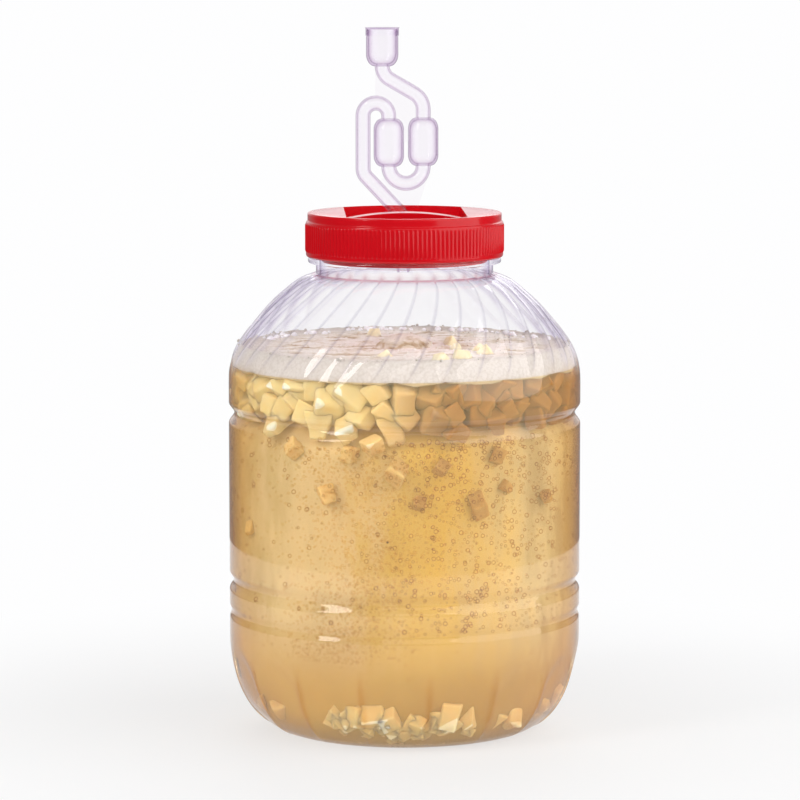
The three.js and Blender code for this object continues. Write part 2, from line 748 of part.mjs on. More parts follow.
function liquidSolid(fill, pockets) {
  const top = frothHeight - gap;
  return fill.intersect(block(4 * bodyRadius, 4 * bodyRadius, -overrun, top)).subtract(pockets);
}

// Assembly
const twoDigits = (index) => String(index + 1).padStart(2, '0');

const model = new THREE.Group();
model.add(meshOf('jar_body', jarSolid(), clearPlastic()));

const lid = new THREE.Group();
lid.rotation.z = lidTurn;
lid.add(meshOf('lid_cap', lidSolid(), finish('#d4131f', 0.35)));
model.add(lid);
model.add(meshOf('lid_liner', linerSolid(), finish('#f2f0ea', 0.7)));

const bubbler = new THREE.Group();
bubbler.position.set(-grommetBack * Math.sin(lidTurn), grommetBack * Math.cos(lidTurn), 0);
bubbler.add(meshOf('grommet', grommetSolid(), finish('#4a3f4a', 0.85)));
bubbler.add(meshOf('airlock_body', bubblerSolid(), clearPlastic()));
bubbler.add(meshOf('airlock_dust_cap', dustCapSolid(), clearPlastic()));
model.add(bubbler);

const contents = new THREE.Group();
const raft = raftFruit();
const floor = floorFruit();
const fill = fillSolid();
contents.add(meshOf('must_liquid', liquidSolid(fill, wasm.Manifold.union([...raft, ...floor].map(({ pocket }) => pocket))),
  finish('#e6b66a', 0.1, 0.8)));
contents.add(meshOf('froth', frothSolid(fill, wasm.Manifold.union(raft.map(({ pocket }) => pocket))),
  finish('#f3ece6', 0.9)));
raft.forEach(({ piece }, index) => {
  contents.add(meshOf(`fruit_raft_${twoDigits(index)}`, piece, finish('#ecd39c', 0.6)));
});
floor.forEach(({ piece }, index) => {
  contents.add(meshOf(`fruit_bottom_${twoDigits(index)}`, piece, finish('#ecd3a4', 0.6)));
});
model.add(contents);

export default model;
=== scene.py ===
import math
import random

import bmesh
import bpy
import numpy as np
from mathutils import Euler, Matrix, Vector, noise


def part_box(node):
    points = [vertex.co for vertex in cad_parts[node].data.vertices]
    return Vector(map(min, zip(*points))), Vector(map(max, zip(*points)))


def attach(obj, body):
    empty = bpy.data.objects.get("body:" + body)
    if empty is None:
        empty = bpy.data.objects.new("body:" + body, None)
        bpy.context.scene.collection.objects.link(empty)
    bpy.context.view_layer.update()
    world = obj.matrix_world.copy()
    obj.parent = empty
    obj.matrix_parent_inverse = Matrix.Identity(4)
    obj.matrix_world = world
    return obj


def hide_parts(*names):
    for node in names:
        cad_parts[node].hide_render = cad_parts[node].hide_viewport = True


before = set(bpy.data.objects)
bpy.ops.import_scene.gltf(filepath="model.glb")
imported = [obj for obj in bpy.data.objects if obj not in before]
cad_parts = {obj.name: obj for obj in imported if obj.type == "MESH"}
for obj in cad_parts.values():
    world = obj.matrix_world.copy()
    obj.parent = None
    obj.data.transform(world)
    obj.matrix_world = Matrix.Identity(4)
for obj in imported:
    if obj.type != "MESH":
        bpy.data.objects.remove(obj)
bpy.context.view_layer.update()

MM = 0.001
TURN = 2 * math.pi
WHITE = (1, 1, 1, 1)
rad = math.radians

# Sizes in millimetres, nearly all as in the solids
GAP = 0.3
BODY_R, BODY_WALL = 112.2, 1.8
FOOT_R, FOOT_WIDTH, PUNT = 75, 8, 7
CORNER_H = 60
SHOULDER_Z, SHOULDER_H = 222, 70
SHOULDER_FLUTE, BASE_FLUTE = 1.25, 2.0
SHOULDER_FLUTES, BASE_FLUTES = 32, 16
FLUTE_START, SWIRL = rad(8.2), rad(22)
NECK_R, NECK_WALL = 56.3, 2.3
SHOULDER_TOP = SHOULDER_Z + SHOULDER_H
RING_BOTTOM, RING_TOP, RING_R = SHOULDER_TOP + 6.5, SHOULDER_TOP + 10, 61.4
MOUTH = RING_TOP + 16
LEAD, STARTS, THREAD_Z = 18, 3, RING_TOP + 5
LID_BOTTOM = RING_TOP + GAP
LID_TOP = LID_BOTTOM + 28
LID_TURN = rad(2)
PLUG_BOTTOM = MOUTH - 19
WELL_BOTTOM = PLUG_BOTTOM + 2.5
BUSH_BACK, FLANGE_T = 25, 2.8
STEM_R, TUBE_R, TUBE_WALL = 4.15, 4.75, 1.0
STEM_AXIS = Vector((-BUSH_BACK * math.sin(LID_TURN), BUSH_BACK * math.cos(LID_TURN), 0))
FROTH_Z, FROTH_T = 232.5, 14
MOUND_R, MOUND_H, MOUND_FORWARD = 18.5, 8.4, 8

# The height, depth and half width of each groove round the body
GROOVES = ((76, 1.2, 4.5), (95.5, 2.6, 6), (203, 3.5, 6.5))

# The picture: the column of the jar's axis, the row that the camera aims at and the row of the foam's middle
AXIS_COLUMN, AIM_ROW, FOAM_ROW = 404.5, 400, 344.1
PIXEL, VIEW_DOWN, AIM_Z = 0.639, rad(6.9), 210
FOAM_ROWS_A_MM = 0.188
CAMERA_AWAY = 2540


def linear(r, g, b):
    """An sRGB colour, 0 to 255, as the linear values that shaders take."""
    shares = (r / 255, g / 255, b / 255)
    return tuple(c / 12.92 if c <= 0.04045 else ((c + 0.055) / 1.055) ** 2.4 for c in shares) + (1.0,)


def grey(v):
    return (v, v, v, 1)


# Materials


class Nodes:
    """A node tree with short calls for its parts. Each value is a socket or a constant."""

    def __init__(self, tree):
        self.nodes, self.links = tree.nodes, tree.links

    def feed(self, target, value):
        if hasattr(value, "links"):
            self.links.new(value, target)
        else:
            target.default_value = value

    def node(self, kind, **values):
        """A node whose inputs are given by name, or as in0, in1 and so on by place."""
        node = self.nodes.new("ShaderNode" + kind)
        for name, value in values.items():
            if name in node.inputs:
                self.feed(node.inputs[name], value)
            elif name.startswith("in") and name[2:].isdigit():
                self.feed(node.inputs[int(name[2:])], value)
            else:
                setattr(node, name, value)
        return node

    def math(self, operation, a, b):
        return self.node("Math", operation=operation, in0=a, in1=b).outputs[0]

    def vector(self, operation, result, *vectors):
        return self.node("VectorMath", operation=operation,
                         **{f"in{i}": v for i, v in enumerate(vectors)}).outputs[result]

    def here(self, kind="Object"):
        return self.node("TexCoord").outputs[kind]

    def place(self, axis, kind="Object"):
        return self.node("SeparateXYZ", in0=self.here(kind)).outputs[axis]

    def part(self, source, low, high, first=0.0, last=1.0, how="SMOOTHSTEP"):
        """The source's way from low to high, as a value from first to last."""
        return self.node("MapRange", interpolation_type=how, in0=source, in1=low, in2=high, in3=first,
                         in4=last).outputs["Result"]

    def ramp(self, source, *stops):
        ramp = self.node("ValToRGB", Fac=source)
        points = ramp.color_ramp.elements
        while len(points) < len(stops):
            points.new(0.5)
        for point, (at, colour) in zip(points, stops):
            point.position, point.color = at, colour
        return ramp.outputs["Color"]

    def mix(self, share, a, b, how="MIX"):
        """Two colours mixed or multiplied."""
        mix = self.node("Mix", data_type="RGBA", blend_type=how, in0=share)
        ends = [i for i in mix.inputs if i.type == "RGBA"]
        self.feed(ends[0], a)
        self.feed(ends[1], b)
        return [o for o in mix.outputs if o.type == "RGBA"][0]

    def mix_shaders(self, share, a, b):
        return self.node("MixShader", in0=share, in1=a, in2=b).outputs["Shader"]


class Material(Nodes):
    def __init__(self, name):
        self.data = bpy.data.materials.new(name)
        self.data.use_nodes = True
        super().__init__(self.data.node_tree)
        self.shader = self.nodes["Principled BSDF"]
        self.output = self.nodes["Material Output"]

    def set(self, **values):
        for name, value in values.items():
            self.feed(self.shader.inputs[name.replace("_", " ")], value)

    def coords(self, scale):
        return self.node("Mapping", Vector=self.here(), Scale=scale).outputs["Vector"]

    def noise(self, size, detail=3.0, rough=0.5, stretch=(1, 1, 1)):
        return self.node("TexNoise", Scale=1 / (size * MM), Detail=detail, Roughness=rough,
                         Vector=self.coords(stretch)).outputs["Fac"]

    def cells(self, size):
        cells = self.node("TexVoronoi", Scale=1 / (size * MM), Vector=self.coords((1, 1, 1)))
        return cells.outputs["Distance"]

    def spots(self, size, detail, low, high, last=0.7):
        """A colour that wavers between two, in spots of about a size in millimetres."""
        return self.ramp(self.noise(size, detail), (0.3, low), (last, high))

    def height(self, low, high, first=0.0, last=1.0):
        """The height's way from low to high, in millimetres."""
        return self.part(self.place("Z"), low * MM, high * MM, first, last)

    def facing(self):
        return self.node("LayerWeight", Blend=0.5).outputs["Facing"]

    def attribute(self, name):
        return self.node("Attribute", attribute_name=name).outputs["Fac"]

    def bump(self, source, depth, strength, before=None):
        bump = self.node("Bump", Strength=strength, Distance=depth * MM, Height=source)
        if before:
            self.feed(bump.inputs["Normal"], before)
        self.set(Normal=bump.outputs["Normal"])
        return bump.outputs["Normal"]

    def let_lamps_through(self, tint):
        """Lamps shine through the clear piece to what is inside it."""
        shadow = self.node("LightPath").outputs["Is Shadow Ray"]
        clear = self.node("BsdfTransparent", Color=tint).outputs["BSDF"]
        self.feed(self.output.inputs["Surface"], self.mix_shaders(shadow, self.shader.outputs["BSDF"], clear))

    def absorb(self, colour, per_mm):
        volume = self.node("VolumeAbsorption", Color=colour, Density=per_mm / MM)
        self.feed(self.output.inputs["Volume"], volume.outputs["Volume"])


def with_painted_edges_and_lines(m, colour, lower, upper, foot):
    """The jar's colour with painted light: edges painted darker, and browner where juice is behind them; painted
    shade and reflection along the flutes on the side facing the view; and a painted reflection of the red lid
    round the neck's foot.
    """
    # Above 289.5 mm the colour is foot, a painted reflection of the red lid round the neck's foot.
    upper = m.mix(m.height(289.5, 290.5), upper, foot)
    above = m.height(228, 242)
    # Painted shade: edges that face the view at a slant are painted darker, and browner where juice is behind
    # them.
    full = m.ramp(m.facing(), (0.0, WHITE), (0.4, (1, 0.99, 0.97, 1)), (0.62, linear(238, 212, 164)),
                  (0.84, linear(166, 122, 78)))
    # Painted shade and reflection along the flutes and the neck's foot, only on surfaces that face the view.
    front = m.math("SUBTRACT", 1.0, m.node("NewGeometry").outputs["Backfacing"])
    near = m.math("MULTIPLY", m.attribute("crease"), front)
    lines = m.mix(near, WHITE, m.mix(above, lower, upper))
    return m.mix(1.0, m.mix(above, full, colour), lines, "MULTIPLY")


def clear_plastic(name, tint, per_mm, roughness, coat, edges, painted_line_colours=None):
    """A clear moulding whose edges, where it faces the view at a slant, are painted darker than its middle:
    painted shade. Its index is far below the real one, about 1.57.
    """
    m = Material(name)
    m.set(Transmission_Weight=1.0, IOR=1.004, Coat_Weight=coat, Coat_IOR=1.55, Coat_Roughness=0.03,
          Roughness=m.spots(14, 2, grey(roughness), grey(roughness * 2.2)))
    # Painted shade at the slanted edges.
    colour = m.ramp(m.facing(), *edges)
    if painted_line_colours:
        colour = with_painted_edges_and_lines(m, colour, *painted_line_colours)
        m.set(Coat_Weight=m.math("MULTIPLY", m.attribute("outside"), coat))
    m.set(Base_Color=colour)
    m.let_lamps_through((0.98, 0.97, 0.985, 1))
    m.absorb(tint, per_mm)
    return m.data


def lid_plastic():
    m = Material("lid_plastic")
    m.set(Base_Color=m.spots(30, 2, linear(214, 3, 20), linear(219, 4, 23)),
          Roughness=m.spots(9, 3, grey(0.3), grey(0.36), 0.75),
          IOR=1.2, Coat_Weight=0.7, Coat_Roughness=0.15, Coat_IOR=1.5)
    m.bump(m.noise(0.35, 2), 0.02, 0.2)
    return m.data


def bush_rubber():
    m = Material("grommet_rubber")
    m.set(Base_Color=m.spots(4, 3, linear(58, 48, 58), linear(74, 62, 74)), Roughness=0.7)
    m.bump(m.noise(0.5, 2), 0.05, 0.4)
    return m.data


def liner_foam():
    m = Material("liner_foam")
    pores = m.cells(0.7)
    m.set(Base_Color=m.ramp(pores, (0.1, linear(226, 222, 214)), (0.6, linear(245, 243, 238))),
          Roughness=0.85)
    m.bump(pores, 0.08, 0.5)
    return m.data


def juice():
    m = Material("must_clear_layer")
    m.set(Base_Color=linear(251, 228, 176), Roughness=0.08, IOR=1.12, Transmission_Weight=0.86,
          Specular_IOR_Level=0.2)
    m.bump(m.noise(40, 2), 0.2, 0.3)
    m.let_lamps_through((0.98, 0.96, 0.91, 1))
    m.absorb(linear(244, 220, 168), 0.016)
    return m.data


def hazy_juice_and_painted_light():
    """Haze in the juice with painted light: yellow in its middle, brightest just right of it, paler to the sides
    with painted shade at both far sides, darker and browner in the raft and near the floor.
    """
    m = Material("must_depth")
    streak = m.part(m.noise(22, 5, 0.62, (1, 1, 0.35)), 0.3, 0.7, -0.016, 0.016)
    across = m.part(m.math("ADD", m.place("X"), streak), -0.1, 0.1, how="LINEAR")
    # Part haze tone, part painted light: a brighter yellow just right of the middle and painted shade at both
    # far sides.
    upper = m.ramp(across, (0.0, linear(208, 196, 164)), (0.15, linear(230, 222, 204)),
                   (0.32, linear(241, 230, 210)), (0.47, linear(236, 216, 142)), (0.6, linear(238, 214, 122)),
                   (0.75, linear(235, 219, 172)), (0.9, linear(213, 205, 184)), (1.0, linear(182, 168, 144)))
    lower = m.ramp(across, (0.0, linear(210, 178, 100)), (0.5, linear(193, 164, 90)),
                   (1.0, linear(166, 128, 56)))
    in_raft = m.mix(m.height(188, 204), WHITE, (0.8, 0.66, 0.5, 1))
    upper = m.mix(1.0, upper, in_raft, "MULTIPLY")
    m.set(Base_Color=m.mix(m.height(30, 100, 1.0, 0.0), upper, lower), Roughness=0.9, Specular_IOR_Level=0.0,
          Subsurface_Weight=0.4, Subsurface_Scale=0.015, Subsurface_Radius=(1.0, 0.8, 0.5))
    return m.data


def foam():
    """Foam: fine bubbles all over it and brownish pools, with painted light: its middle, under the lid, painted
    lighter than the band at the wall, and a painted shadow round the mound's foot below a top painted lighter.
    """
    m = Material("froth_foam")
    tone = m.noise(11, 6, 0.68, (0.55, 1, 1))
    middle = m.ramp(tone, (0.34, linear(164, 138, 108)), (0.43, linear(204, 189, 168)),
                    (0.5, linear(226, 219, 211)), (0.8, linear(234, 229, 224)))
    edge = m.ramp(tone, (0.3, linear(208, 199, 190)), (0.7, linear(215, 207, 199)))
    from_axis = m.vector("LENGTH", "Value", m.coords((1, 1, 0)))
    # Painted light: the middle is lighter than the band at the wall.
    colour = m.mix(m.part(from_axis, 0.07, 0.1), middle, edge)
    pores = m.ramp(m.cells(1.7), (0.0, WHITE), (0.45, (0.98, 0.975, 0.97, 1)), (0.75, (0.9, 0.88, 0.86, 1)))
    # Painted shadow round the mound's foot; the mound's top is painted lighter and less red.
    from_mound = m.vector("DISTANCE", "Value", m.here(), (0, -MOUND_FORWARD * MM, 0.25))
    rim = m.ramp(m.part(from_mound, 0.004, 0.026), (0.0, (0.95, 0.97, 0.94, 1)), (0.45, (0.9, 0.9, 0.85, 1)),
                 (0.6, (0.72, 0.65, 0.54, 1)), (0.76, WHITE))
    m.set(Base_Color=m.mix(1.0, m.mix(1.0, colour, pores, "MULTIPLY"), rim, "MULTIPLY"),
          Roughness=0.8, Specular_IOR_Level=0.2,
          Subsurface_Weight=0.2, Subsurface_Scale=0.003, Subsurface_Radius=(1.0, 0.9, 0.8))
    m.bump(m.cells(1.3), 0.3, 0.4, m.bump(m.cells(3.2), 0.4, 0.3))
    return m.data


def foam_bubble():
    m = Material("froth_bubble")
    m.set(Base_Color=m.spots(6, 2, linear(244, 241, 242), linear(252, 250, 252)), Roughness=0.3, IOR=1.33)
    return m.data


def gas_bubble(name, edge):
    """A gas bubble: clear in its middle, with painted shade at its edge, where it faces the view at a slant."""
    m = Material(name)
    # Painted shade at the edge.
    m.set(Base_Color=m.ramp(m.facing(), (0.0, WHITE), (0.14, WHITE), (0.4, edge)),
          Roughness=m.spots(9, 2, grey(0.02), grey(0.06)),
          IOR=1.02, Transmission_Weight=1.0, Coat_Weight=0.25)
    return m.data


def fruit_flesh(name, dark, light, right_side_colour=None):
    """Fruit flesh, browner towards the jar's right side."""
    m = Material(name)
    flesh = m.ramp(m.noise(7, 4, 0.6), (0.3, dark), (0.7, light))
    if right_side_colour:
        # Browner towards +X, the jar's right side.
        flesh = m.mix(m.part(m.place("X"), -0.03, 0.035), flesh, right_side_colour)
    m.set(Base_Color=flesh, Roughness=m.spots(3, 2, grey(0.5), grey(0.7)), Specular_IOR_Level=0.1,
          Subsurface_Weight=0.8, Subsurface_Scale=0.005, Subsurface_Radius=(1.0, 0.85, 0.6))
    m.bump(m.noise(1.1, 3, 0.6), 0.25, 0.4)
    return m.data


# Painted light in both: each edges ramp is painted shade, and the jar's last three colours paint shade and
# reflection along the base's and shoulder's flutes and a reflection of the red lid round the neck's foot.
JAR = clear_plastic("jar_plastic", linear(240, 238, 250), per_mm=0.006, roughness=0.01, coat=0.9,
                    edges=((0.0, WHITE), (0.5, (0.99, 0.985, 0.998, 1)), (0.78, linear(228, 222, 236)),
                           (0.95, linear(150, 140, 166))),
                    painted_line_colours=(linear(236, 208, 162), linear(190, 184, 202), linear(184, 100, 122)))
AIRLOCK = clear_plastic("airlock_plastic", linear(222, 206, 228), per_mm=0.09, roughness=0.04, coat=0.3,
                        edges=((0.0, (0.993, 0.989, 0.997, 1)), (0.2, (0.98, 0.972, 0.988, 1)),
                               (0.5, linear(240, 232, 242)), (0.8, linear(192, 180, 198)),
                               (0.97, linear(146, 130, 154))))
LID, RUBBER, LINER = lid_plastic(), bush_rubber(), liner_foam()
JUICE, HAZE_AND_PAINTED_LIGHT = juice(), hazy_juice_and_painted_light()
FOAM, FOAM_BUBBLE = foam(), foam_bubble()
GAS_BUBBLE = gas_bubble("gas_bubble", linear(210, 160, 84))
GAS_BEAD = gas_bubble("gas_bead", linear(242, 210, 150))
FLESH = fruit_flesh("fruit_flesh", linear(255, 236, 198), linear(255, 247, 224), linear(172, 128, 76))
FLESH_LOW = fruit_flesh("fruit_flesh_low", linear(244, 214, 166), linear(250, 228, 188))
FLESH_TIP = fruit_flesh("fruit_flesh_tip", linear(218, 202, 164), linear(236, 226, 198))
FLESH_SHADED = fruit_flesh("fruit_flesh_shaded", linear(196, 158, 104), linear(216, 184, 132))


# Objects. A shape is its points, in millimetres, and its faces.


def mesh_object(name, shape):
    verts, faces = shape
    mesh = bpy.data.meshes.new(name)
    mesh.from_pydata((np.asarray(verts, float) * MM).tolist(), [], faces)
    obj = bpy.data.objects.new(name, mesh)
    bpy.context.scene.collection.objects.link(obj)
    return obj


def loose(shape):
    """An object that is only a step in a join or a cut."""
    return mesh_object("step", shape)


def finish_piece(obj, material, body, replaces=(), sharp=35):
    mesh = obj.data
    mesh.materials.clear()
    mesh.materials.append(material)
    mesh.shade_smooth()
    if sharp:
        mesh.set_sharp_from_angle(angle=rad(sharp))
    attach(obj, body)
    if replaces:
        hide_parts(*replaces)
    return obj


def piece(name, shape, material, body, replaces=(), sharp=35):
    return finish_piece(mesh_object(name, shape), material, body, replaces, sharp)


def joined(target, tools, operation):
    for tool in tools:
        mod = target.modifiers.new("step", "BOOLEAN")
        mod.operation, mod.object, mod.solver = operation, tool, "MANIFOLD"
    graph = bpy.context.evaluated_depsgraph_get()
    mesh = bpy.data.meshes.new_from_object(target.evaluated_get(graph))
    target.modifiers.clear()
    old = target.data
    target.data = mesh
    bpy.data.meshes.remove(old)
    for tool in tools:
        data = tool.data
        bpy.data.objects.remove(tool)
        bpy.data.meshes.remove(data)
    return target


# Shapes


def polar(angle, radius):
    """A place (x, y) at an angle from the X axis."""
    return radius * math.cos(angle), radius * math.sin(angle)


def from_front(angle, radius):
    """A place (x, y) at an angle from the jar's front."""
    return radius * math.sin(angle), -radius * math.cos(angle)


def smooth_step(v, low, high):
    t = min(max((v - low) / (high - low), 0.0), 1.0)
    return t * t * (3 - 2 * t)


def outward(verts, faces):
    """The faces, turned so that they face out of the closed shape."""
    v = np.asarray(verts, float)
    total = 0.0
    for f in faces:
        for i in range(1, len(f) - 1):
            total += np.dot(v[f[0]], np.cross(v[f[i]], v[f[i + 1]]))
    return faces if total > 0 else [tuple(reversed(f)) for f in faces]


def rings(rows, around, closed=False):
    """The shape over rows of points. A row with one point closes it on its axis."""
    verts, starts = [], []
    for row in rows:
        starts.append(len(verts))
        verts.extend(row)
    faces = []
    pairs = list(zip(range(len(rows)), range(1, len(rows))))
    if closed:
        pairs.append((len(rows) - 1, 0))
    for a, b in pairs:
        low, high = starts[a], starts[b]
        for k in range(around):
            k2 = (k + 1) % around
            if len(rows[a]) == 1:
                faces.append((low, high + k2, high + k))
            elif len(rows[b]) == 1:
                faces.append((low + k, low + k2, high))
            else:
                faces.append((low + k, low + k2, high + k2, high + k))
    return verts, outward(verts, faces)


def circle(radius, z, around, x=0.0, y=0.0):
    """A row of points round a vertical axis, or one point on it."""
    if radius == 0:
        return [(x, y, z)]
    places = (polar(TURN * k / around, radius) for k in range(around))
    return [(x + px, y + py, z) for px, py in places]


def turned(points, around, x=0.0, y=0.0, closed=False):
    """A solid of revolution about a vertical axis, from (radius, height) points."""
    return rings([circle(radius, z, around, x, y) for radius, z in points], around, closed)


def between(near, far):
    """The shape between two outlines with the same number of points."""
    n = len(near)
    faces = [tuple(reversed(range(n))), tuple(range(n, 2 * n))]
    faces += [(i, (i + 1) % n, n + (i + 1) % n, n + i) for i in range(n)]
    return near + far, outward(near + far, faces)


def extruded(outline, thickness):
    """A flat outline of (x, z) points made thick along Y."""
    return between(*([(x, y, z) for x, z in outline] for y in (-thickness / 2, thickness / 2)))


def prism(outline, bottom, top):
    """A flat outline of (x, y) points made tall."""
    return between(*([(x, y, z) for x, y in outline] for z in (bottom, top)))


def capped(rows):
    """A loose object over rows of points, with a flat face at each end."""
    around = len(rows[0])
    verts, faces = rings(rows, around)
    last = len(verts) - around
    obj = loose((verts, list(faces) + [tuple(range(around)), tuple(range(last, last + around))]))
    bm = bmesh.new()
    bm.from_mesh(obj.data)
    bmesh.ops.recalc_face_normals(bm, faces=bm.faces)
    bm.to_mesh(obj.data)
    bm.free()
    return obj


def strip(radius, half, sign=0, steps=48):
    """The outline of a circle's part with x within half of the middle, or beyond it on one side."""
    reach = math.acos(half / radius)
    if sign:
        side = [polar(-reach + 2 * reach * k / steps, radius) for k in range(steps + 1)]
        return [(sign * x, y) for x, y in side][::sign]
    arcs = ((reach, math.pi - reach), (math.pi + reach, TURN - reach))
    return [polar(a, radius) for first, last in arcs for a in np.linspace(first, last, steps + 1)]


def rounded(points, radius, steps=4):
    """An outline with its corners rounded, as far as its sides allow."""
    out = []
    n = len(points)
    for i in range(n):
        p0, p1, p2 = (Vector(points[j % n]) for j in (i - 1, i, i + 1))
        a, b = (p0 - p1), (p2 - p1)
        angle = a.angle(b)
        r = min(radius, 0.45 * min(a.length, b.length) * math.tan(angle / 2))
        back = r / math.tan(angle / 2)
        s, e = p1 + a.normalized() * back, p1 + b.normalized() * back
        for k in range(steps + 1):
            t = k / steps
            q = s.lerp(p1, t).lerp(p1.lerp(e, t), t)
            out.append((q.x, q.y))
    return out


# Jar. Its shoulder's points go from the body, at (1, 0), to the neck, at (0, 1).

AROUND = 512
SHOULDER = ((1, 0), (0.995, 0.114), (0.966, 0.229), (0.920, 0.321), (0.835, 0.429), (0.687, 0.579),
            (0.527, 0.724), (0.368, 0.840), (0.217, 0.934), (0.09, 0.978), (0, 1))


def smooth_line(points, count):
    """Points of a smooth curve through the given ones."""
    p = np.array(points, float)
    d = np.r_[0, np.cumsum(np.hypot(*np.diff(p, axis=0).T))]
    tangents = np.gradient(p, d, axis=0)
    out = []
    for t in np.linspace(0, d[-1], count):
        i = min(max(np.searchsorted(d, t) - 1, 0), len(p) - 2)
        h = d[i + 1] - d[i]
        s = (t - d[i]) / h
        out.append((2 * s ** 3 - 3 * s ** 2 + 1) * p[i] + (s ** 3 - 2 * s ** 2 + s) * h * tangents[i]
                   + (-2 * s ** 3 + 3 * s ** 2) * p[i + 1] + (s ** 3 - s ** 2) * h * tangents[i + 1])
    return out


def body_radius(z):
    r = BODY_R
    for height, depth, reach in GROOVES:
        if abs(z - height) < reach:
            r -= depth * (0.5 + 0.5 * math.cos(math.pi * (z - height) / reach)) ** 0.8
    return r


def jar_rows():
    """Rows from the floor's middle to the neck's foot, as [radius, height, share, share]. The shares say how far
    up the base corner and the shoulder the row is."""
    flat = FOOT_R - FOOT_WIDTH
    rows = [[flat * s, PUNT * (1 - s ** 3.4), 0, 0] for s in (0, 0.2, 0.4, 0.55, 0.68, 0.79, 0.88, 0.95)]
    rows += [[flat - 0.6, 0.35, 0, 0], [flat + 0.4, 0.02, 0, 0], [flat + 1.2, 0, 0, 0]]
    for t in [math.pi / 2 * k / 30 for k in range(31)]:
        z = CORNER_H * (1 - math.cos(t))
        rows.append([FOOT_R + (BODY_R - FOOT_R) * math.sin(t), z, z / CORNER_H, 0])
    heights = [64, 68, *np.linspace(108, 190, 9), 214, 218]
    for height, depth, reach in GROOVES:
        heights += [height + reach * k / 8 for k in range(-9, 10)]
    rows += [[body_radius(z), z, 1, 0] for z in sorted(heights)]
    for across, up in smooth_line(SHOULDER, 44):
        rows.append([NECK_R + (BODY_R - NECK_R) * across, SHOULDER_Z + SHOULDER_H * up, 1, up])
    return rows


OUTLINE = jar_rows()


def inset(distance):
    """The outline's rows moved inwards, square to the wall."""
    p = np.array([[r[0], r[1]] for r in OUTLINE])
    t = np.gradient(p, axis=0)
    t /= np.linalg.norm(t, axis=1)[:, None]
    q = p + distance * np.stack([-t[:, 1], t[:, 0]], 1)
    q[0][0] = 0
    return [[max(a, 0), b, r[2], r[3]] for (a, b), r in zip(q, OUTLINE)]


def base_press(angle, share):
    """How far a base panel is pressed in: a sharp rib between panels and a rounded top."""
    u = abs(((angle * BASE_FLUTES / TURN) % 1) - 0.5) * 2
    across = math.sqrt(max(0.0, 1 - u * u))
    top = 0.6 + 0.36 * across
    return BASE_FLUTE * across * smooth_step(share, 0.0, 0.12) * smooth_step(top - share, 0.0, 0.22)


def shoulder_press(angle, share):
    """How far the shoulder is pressed in: a crease between rounded lobes."""
    u = math.sqrt(math.sin(SHOULDER_FLUTES * angle / 2) ** 2 + 0.006) - 0.03
    ends = smooth_step(share, 0.02, 0.34) * (1 - 0.6 * smooth_step(share, 0.9, 1))
    return SHOULDER_FLUTE * ends * (1 - u ** 0.9)


def fluted_row(row, around=AROUND):
    """A row's points, with the flutes pressed in square to the wall and turned with the swirl."""
    radius, height, base, share = row
    if radius == 0:
        return [(0, 0, height)]
    out = []
    for k in range(around):
        angle = TURN * k / around
        press, slope = 0.0, 0.0
        if 0 < base < 1:
            press, slope = base_press(angle, base), -math.acos(base)
        elif share > 0 and height <= SHOULDER_TOP + 0.01:
            press, slope = shoulder_press(angle, share), share * math.pi / 2
        turn = angle + FLUTE_START + SWIRL * share
        out.append((*from_front(turn, radius - press * math.cos(slope)), height - press * math.sin(slope)))
    return out


def thread_ridges(root, side, first, delay, sweep):
    """Helical ridges on the neck, or in the lid where side is -1."""
    steps = 40
    out = []
    for start in range(STARTS):
        rows = []
        for k in range(steps + 1):
            along = rad(delay) + rad(sweep) * k / steps
            ease = min(1.0, 0.25 + 6 * min(k, steps - k) / steps)
            upper = [(2.75 * ease, 0.35), (2.2 * ease, 0.75), (-0.6, 1.1)]
            section = [(u, -v) for u, v in reversed(upper)] + upper
            turn, z = start * TURN / STARTS + along, first + LEAD * along / TURN
            rows.append([(*polar(turn, root + side * u), z + v) for u, v in section])
        out.append(capped(rows))
    return out


def bell(values, width):
    return np.exp(-(values / width) ** 2)


def mark_surface(mesh):
    """Values for the material: "crease", where painted shade and reflection run along the flutes and a painted
    reflection of the red lid runs round the neck's foot, and "outside".
    """
    co = np.empty(len(mesh.vertices) * 3)
    mesh.vertices.foreach_get("co", co)
    co = co.reshape(-1, 3)
    x, y, z = (co / MM).T
    out = np.hypot(x, y)
    share = np.clip((z - SHOULDER_Z) / SHOULDER_H, 0, 1)
    upper = [r for r in OUTLINE if r[1] >= SHOULDER_Z]
    outer = np.interp(z, [r[1] for r in upper], [r[0] for r in upper])
    angle = np.arctan2(x, -y) - FLUTE_START
    # Painted shade along the shoulder's flutes.
    crease = bell(np.sin(SHOULDER_FLUTES * (angle - SWIRL * share) / 2), 0.14)
    crease *= (out > outer - 1.9) & (z > SHOULDER_Z) & (z < SHOULDER_TOP - 1.5)
    crease *= np.clip((share - 0.1) / 0.25, 0, 1)
    # Painted reflection along the base's ribs.
    rib = np.abs(np.mod(angle * BASE_FLUTES / TURN, 1) - 0.5) * 2
    crease += bell(1 - rib, 0.12) * np.clip((z - 5) / 16, 0, 1) * np.clip((56 - z) / 20, 0, 1)
    # Painted reflection of the red lid round the neck's foot.
    crease += bell(z - SHOULDER_TOP + 0.7, 0.6) * (out > NECK_R - 0.6)
    way = np.empty(len(mesh.vertices) * 3, np.float32)
    mesh.vertex_normals.foreach_get("vector", way)
    outside = (way.reshape(-1, 3) * (co - (0, 0, 150 * MM))).sum(1) > 0
    for name, values in (("crease", crease), ("outside", outside)):
        mesh.attributes.new(name, "FLOAT", "POINT").data.foreach_set("value", values.astype(np.float32))


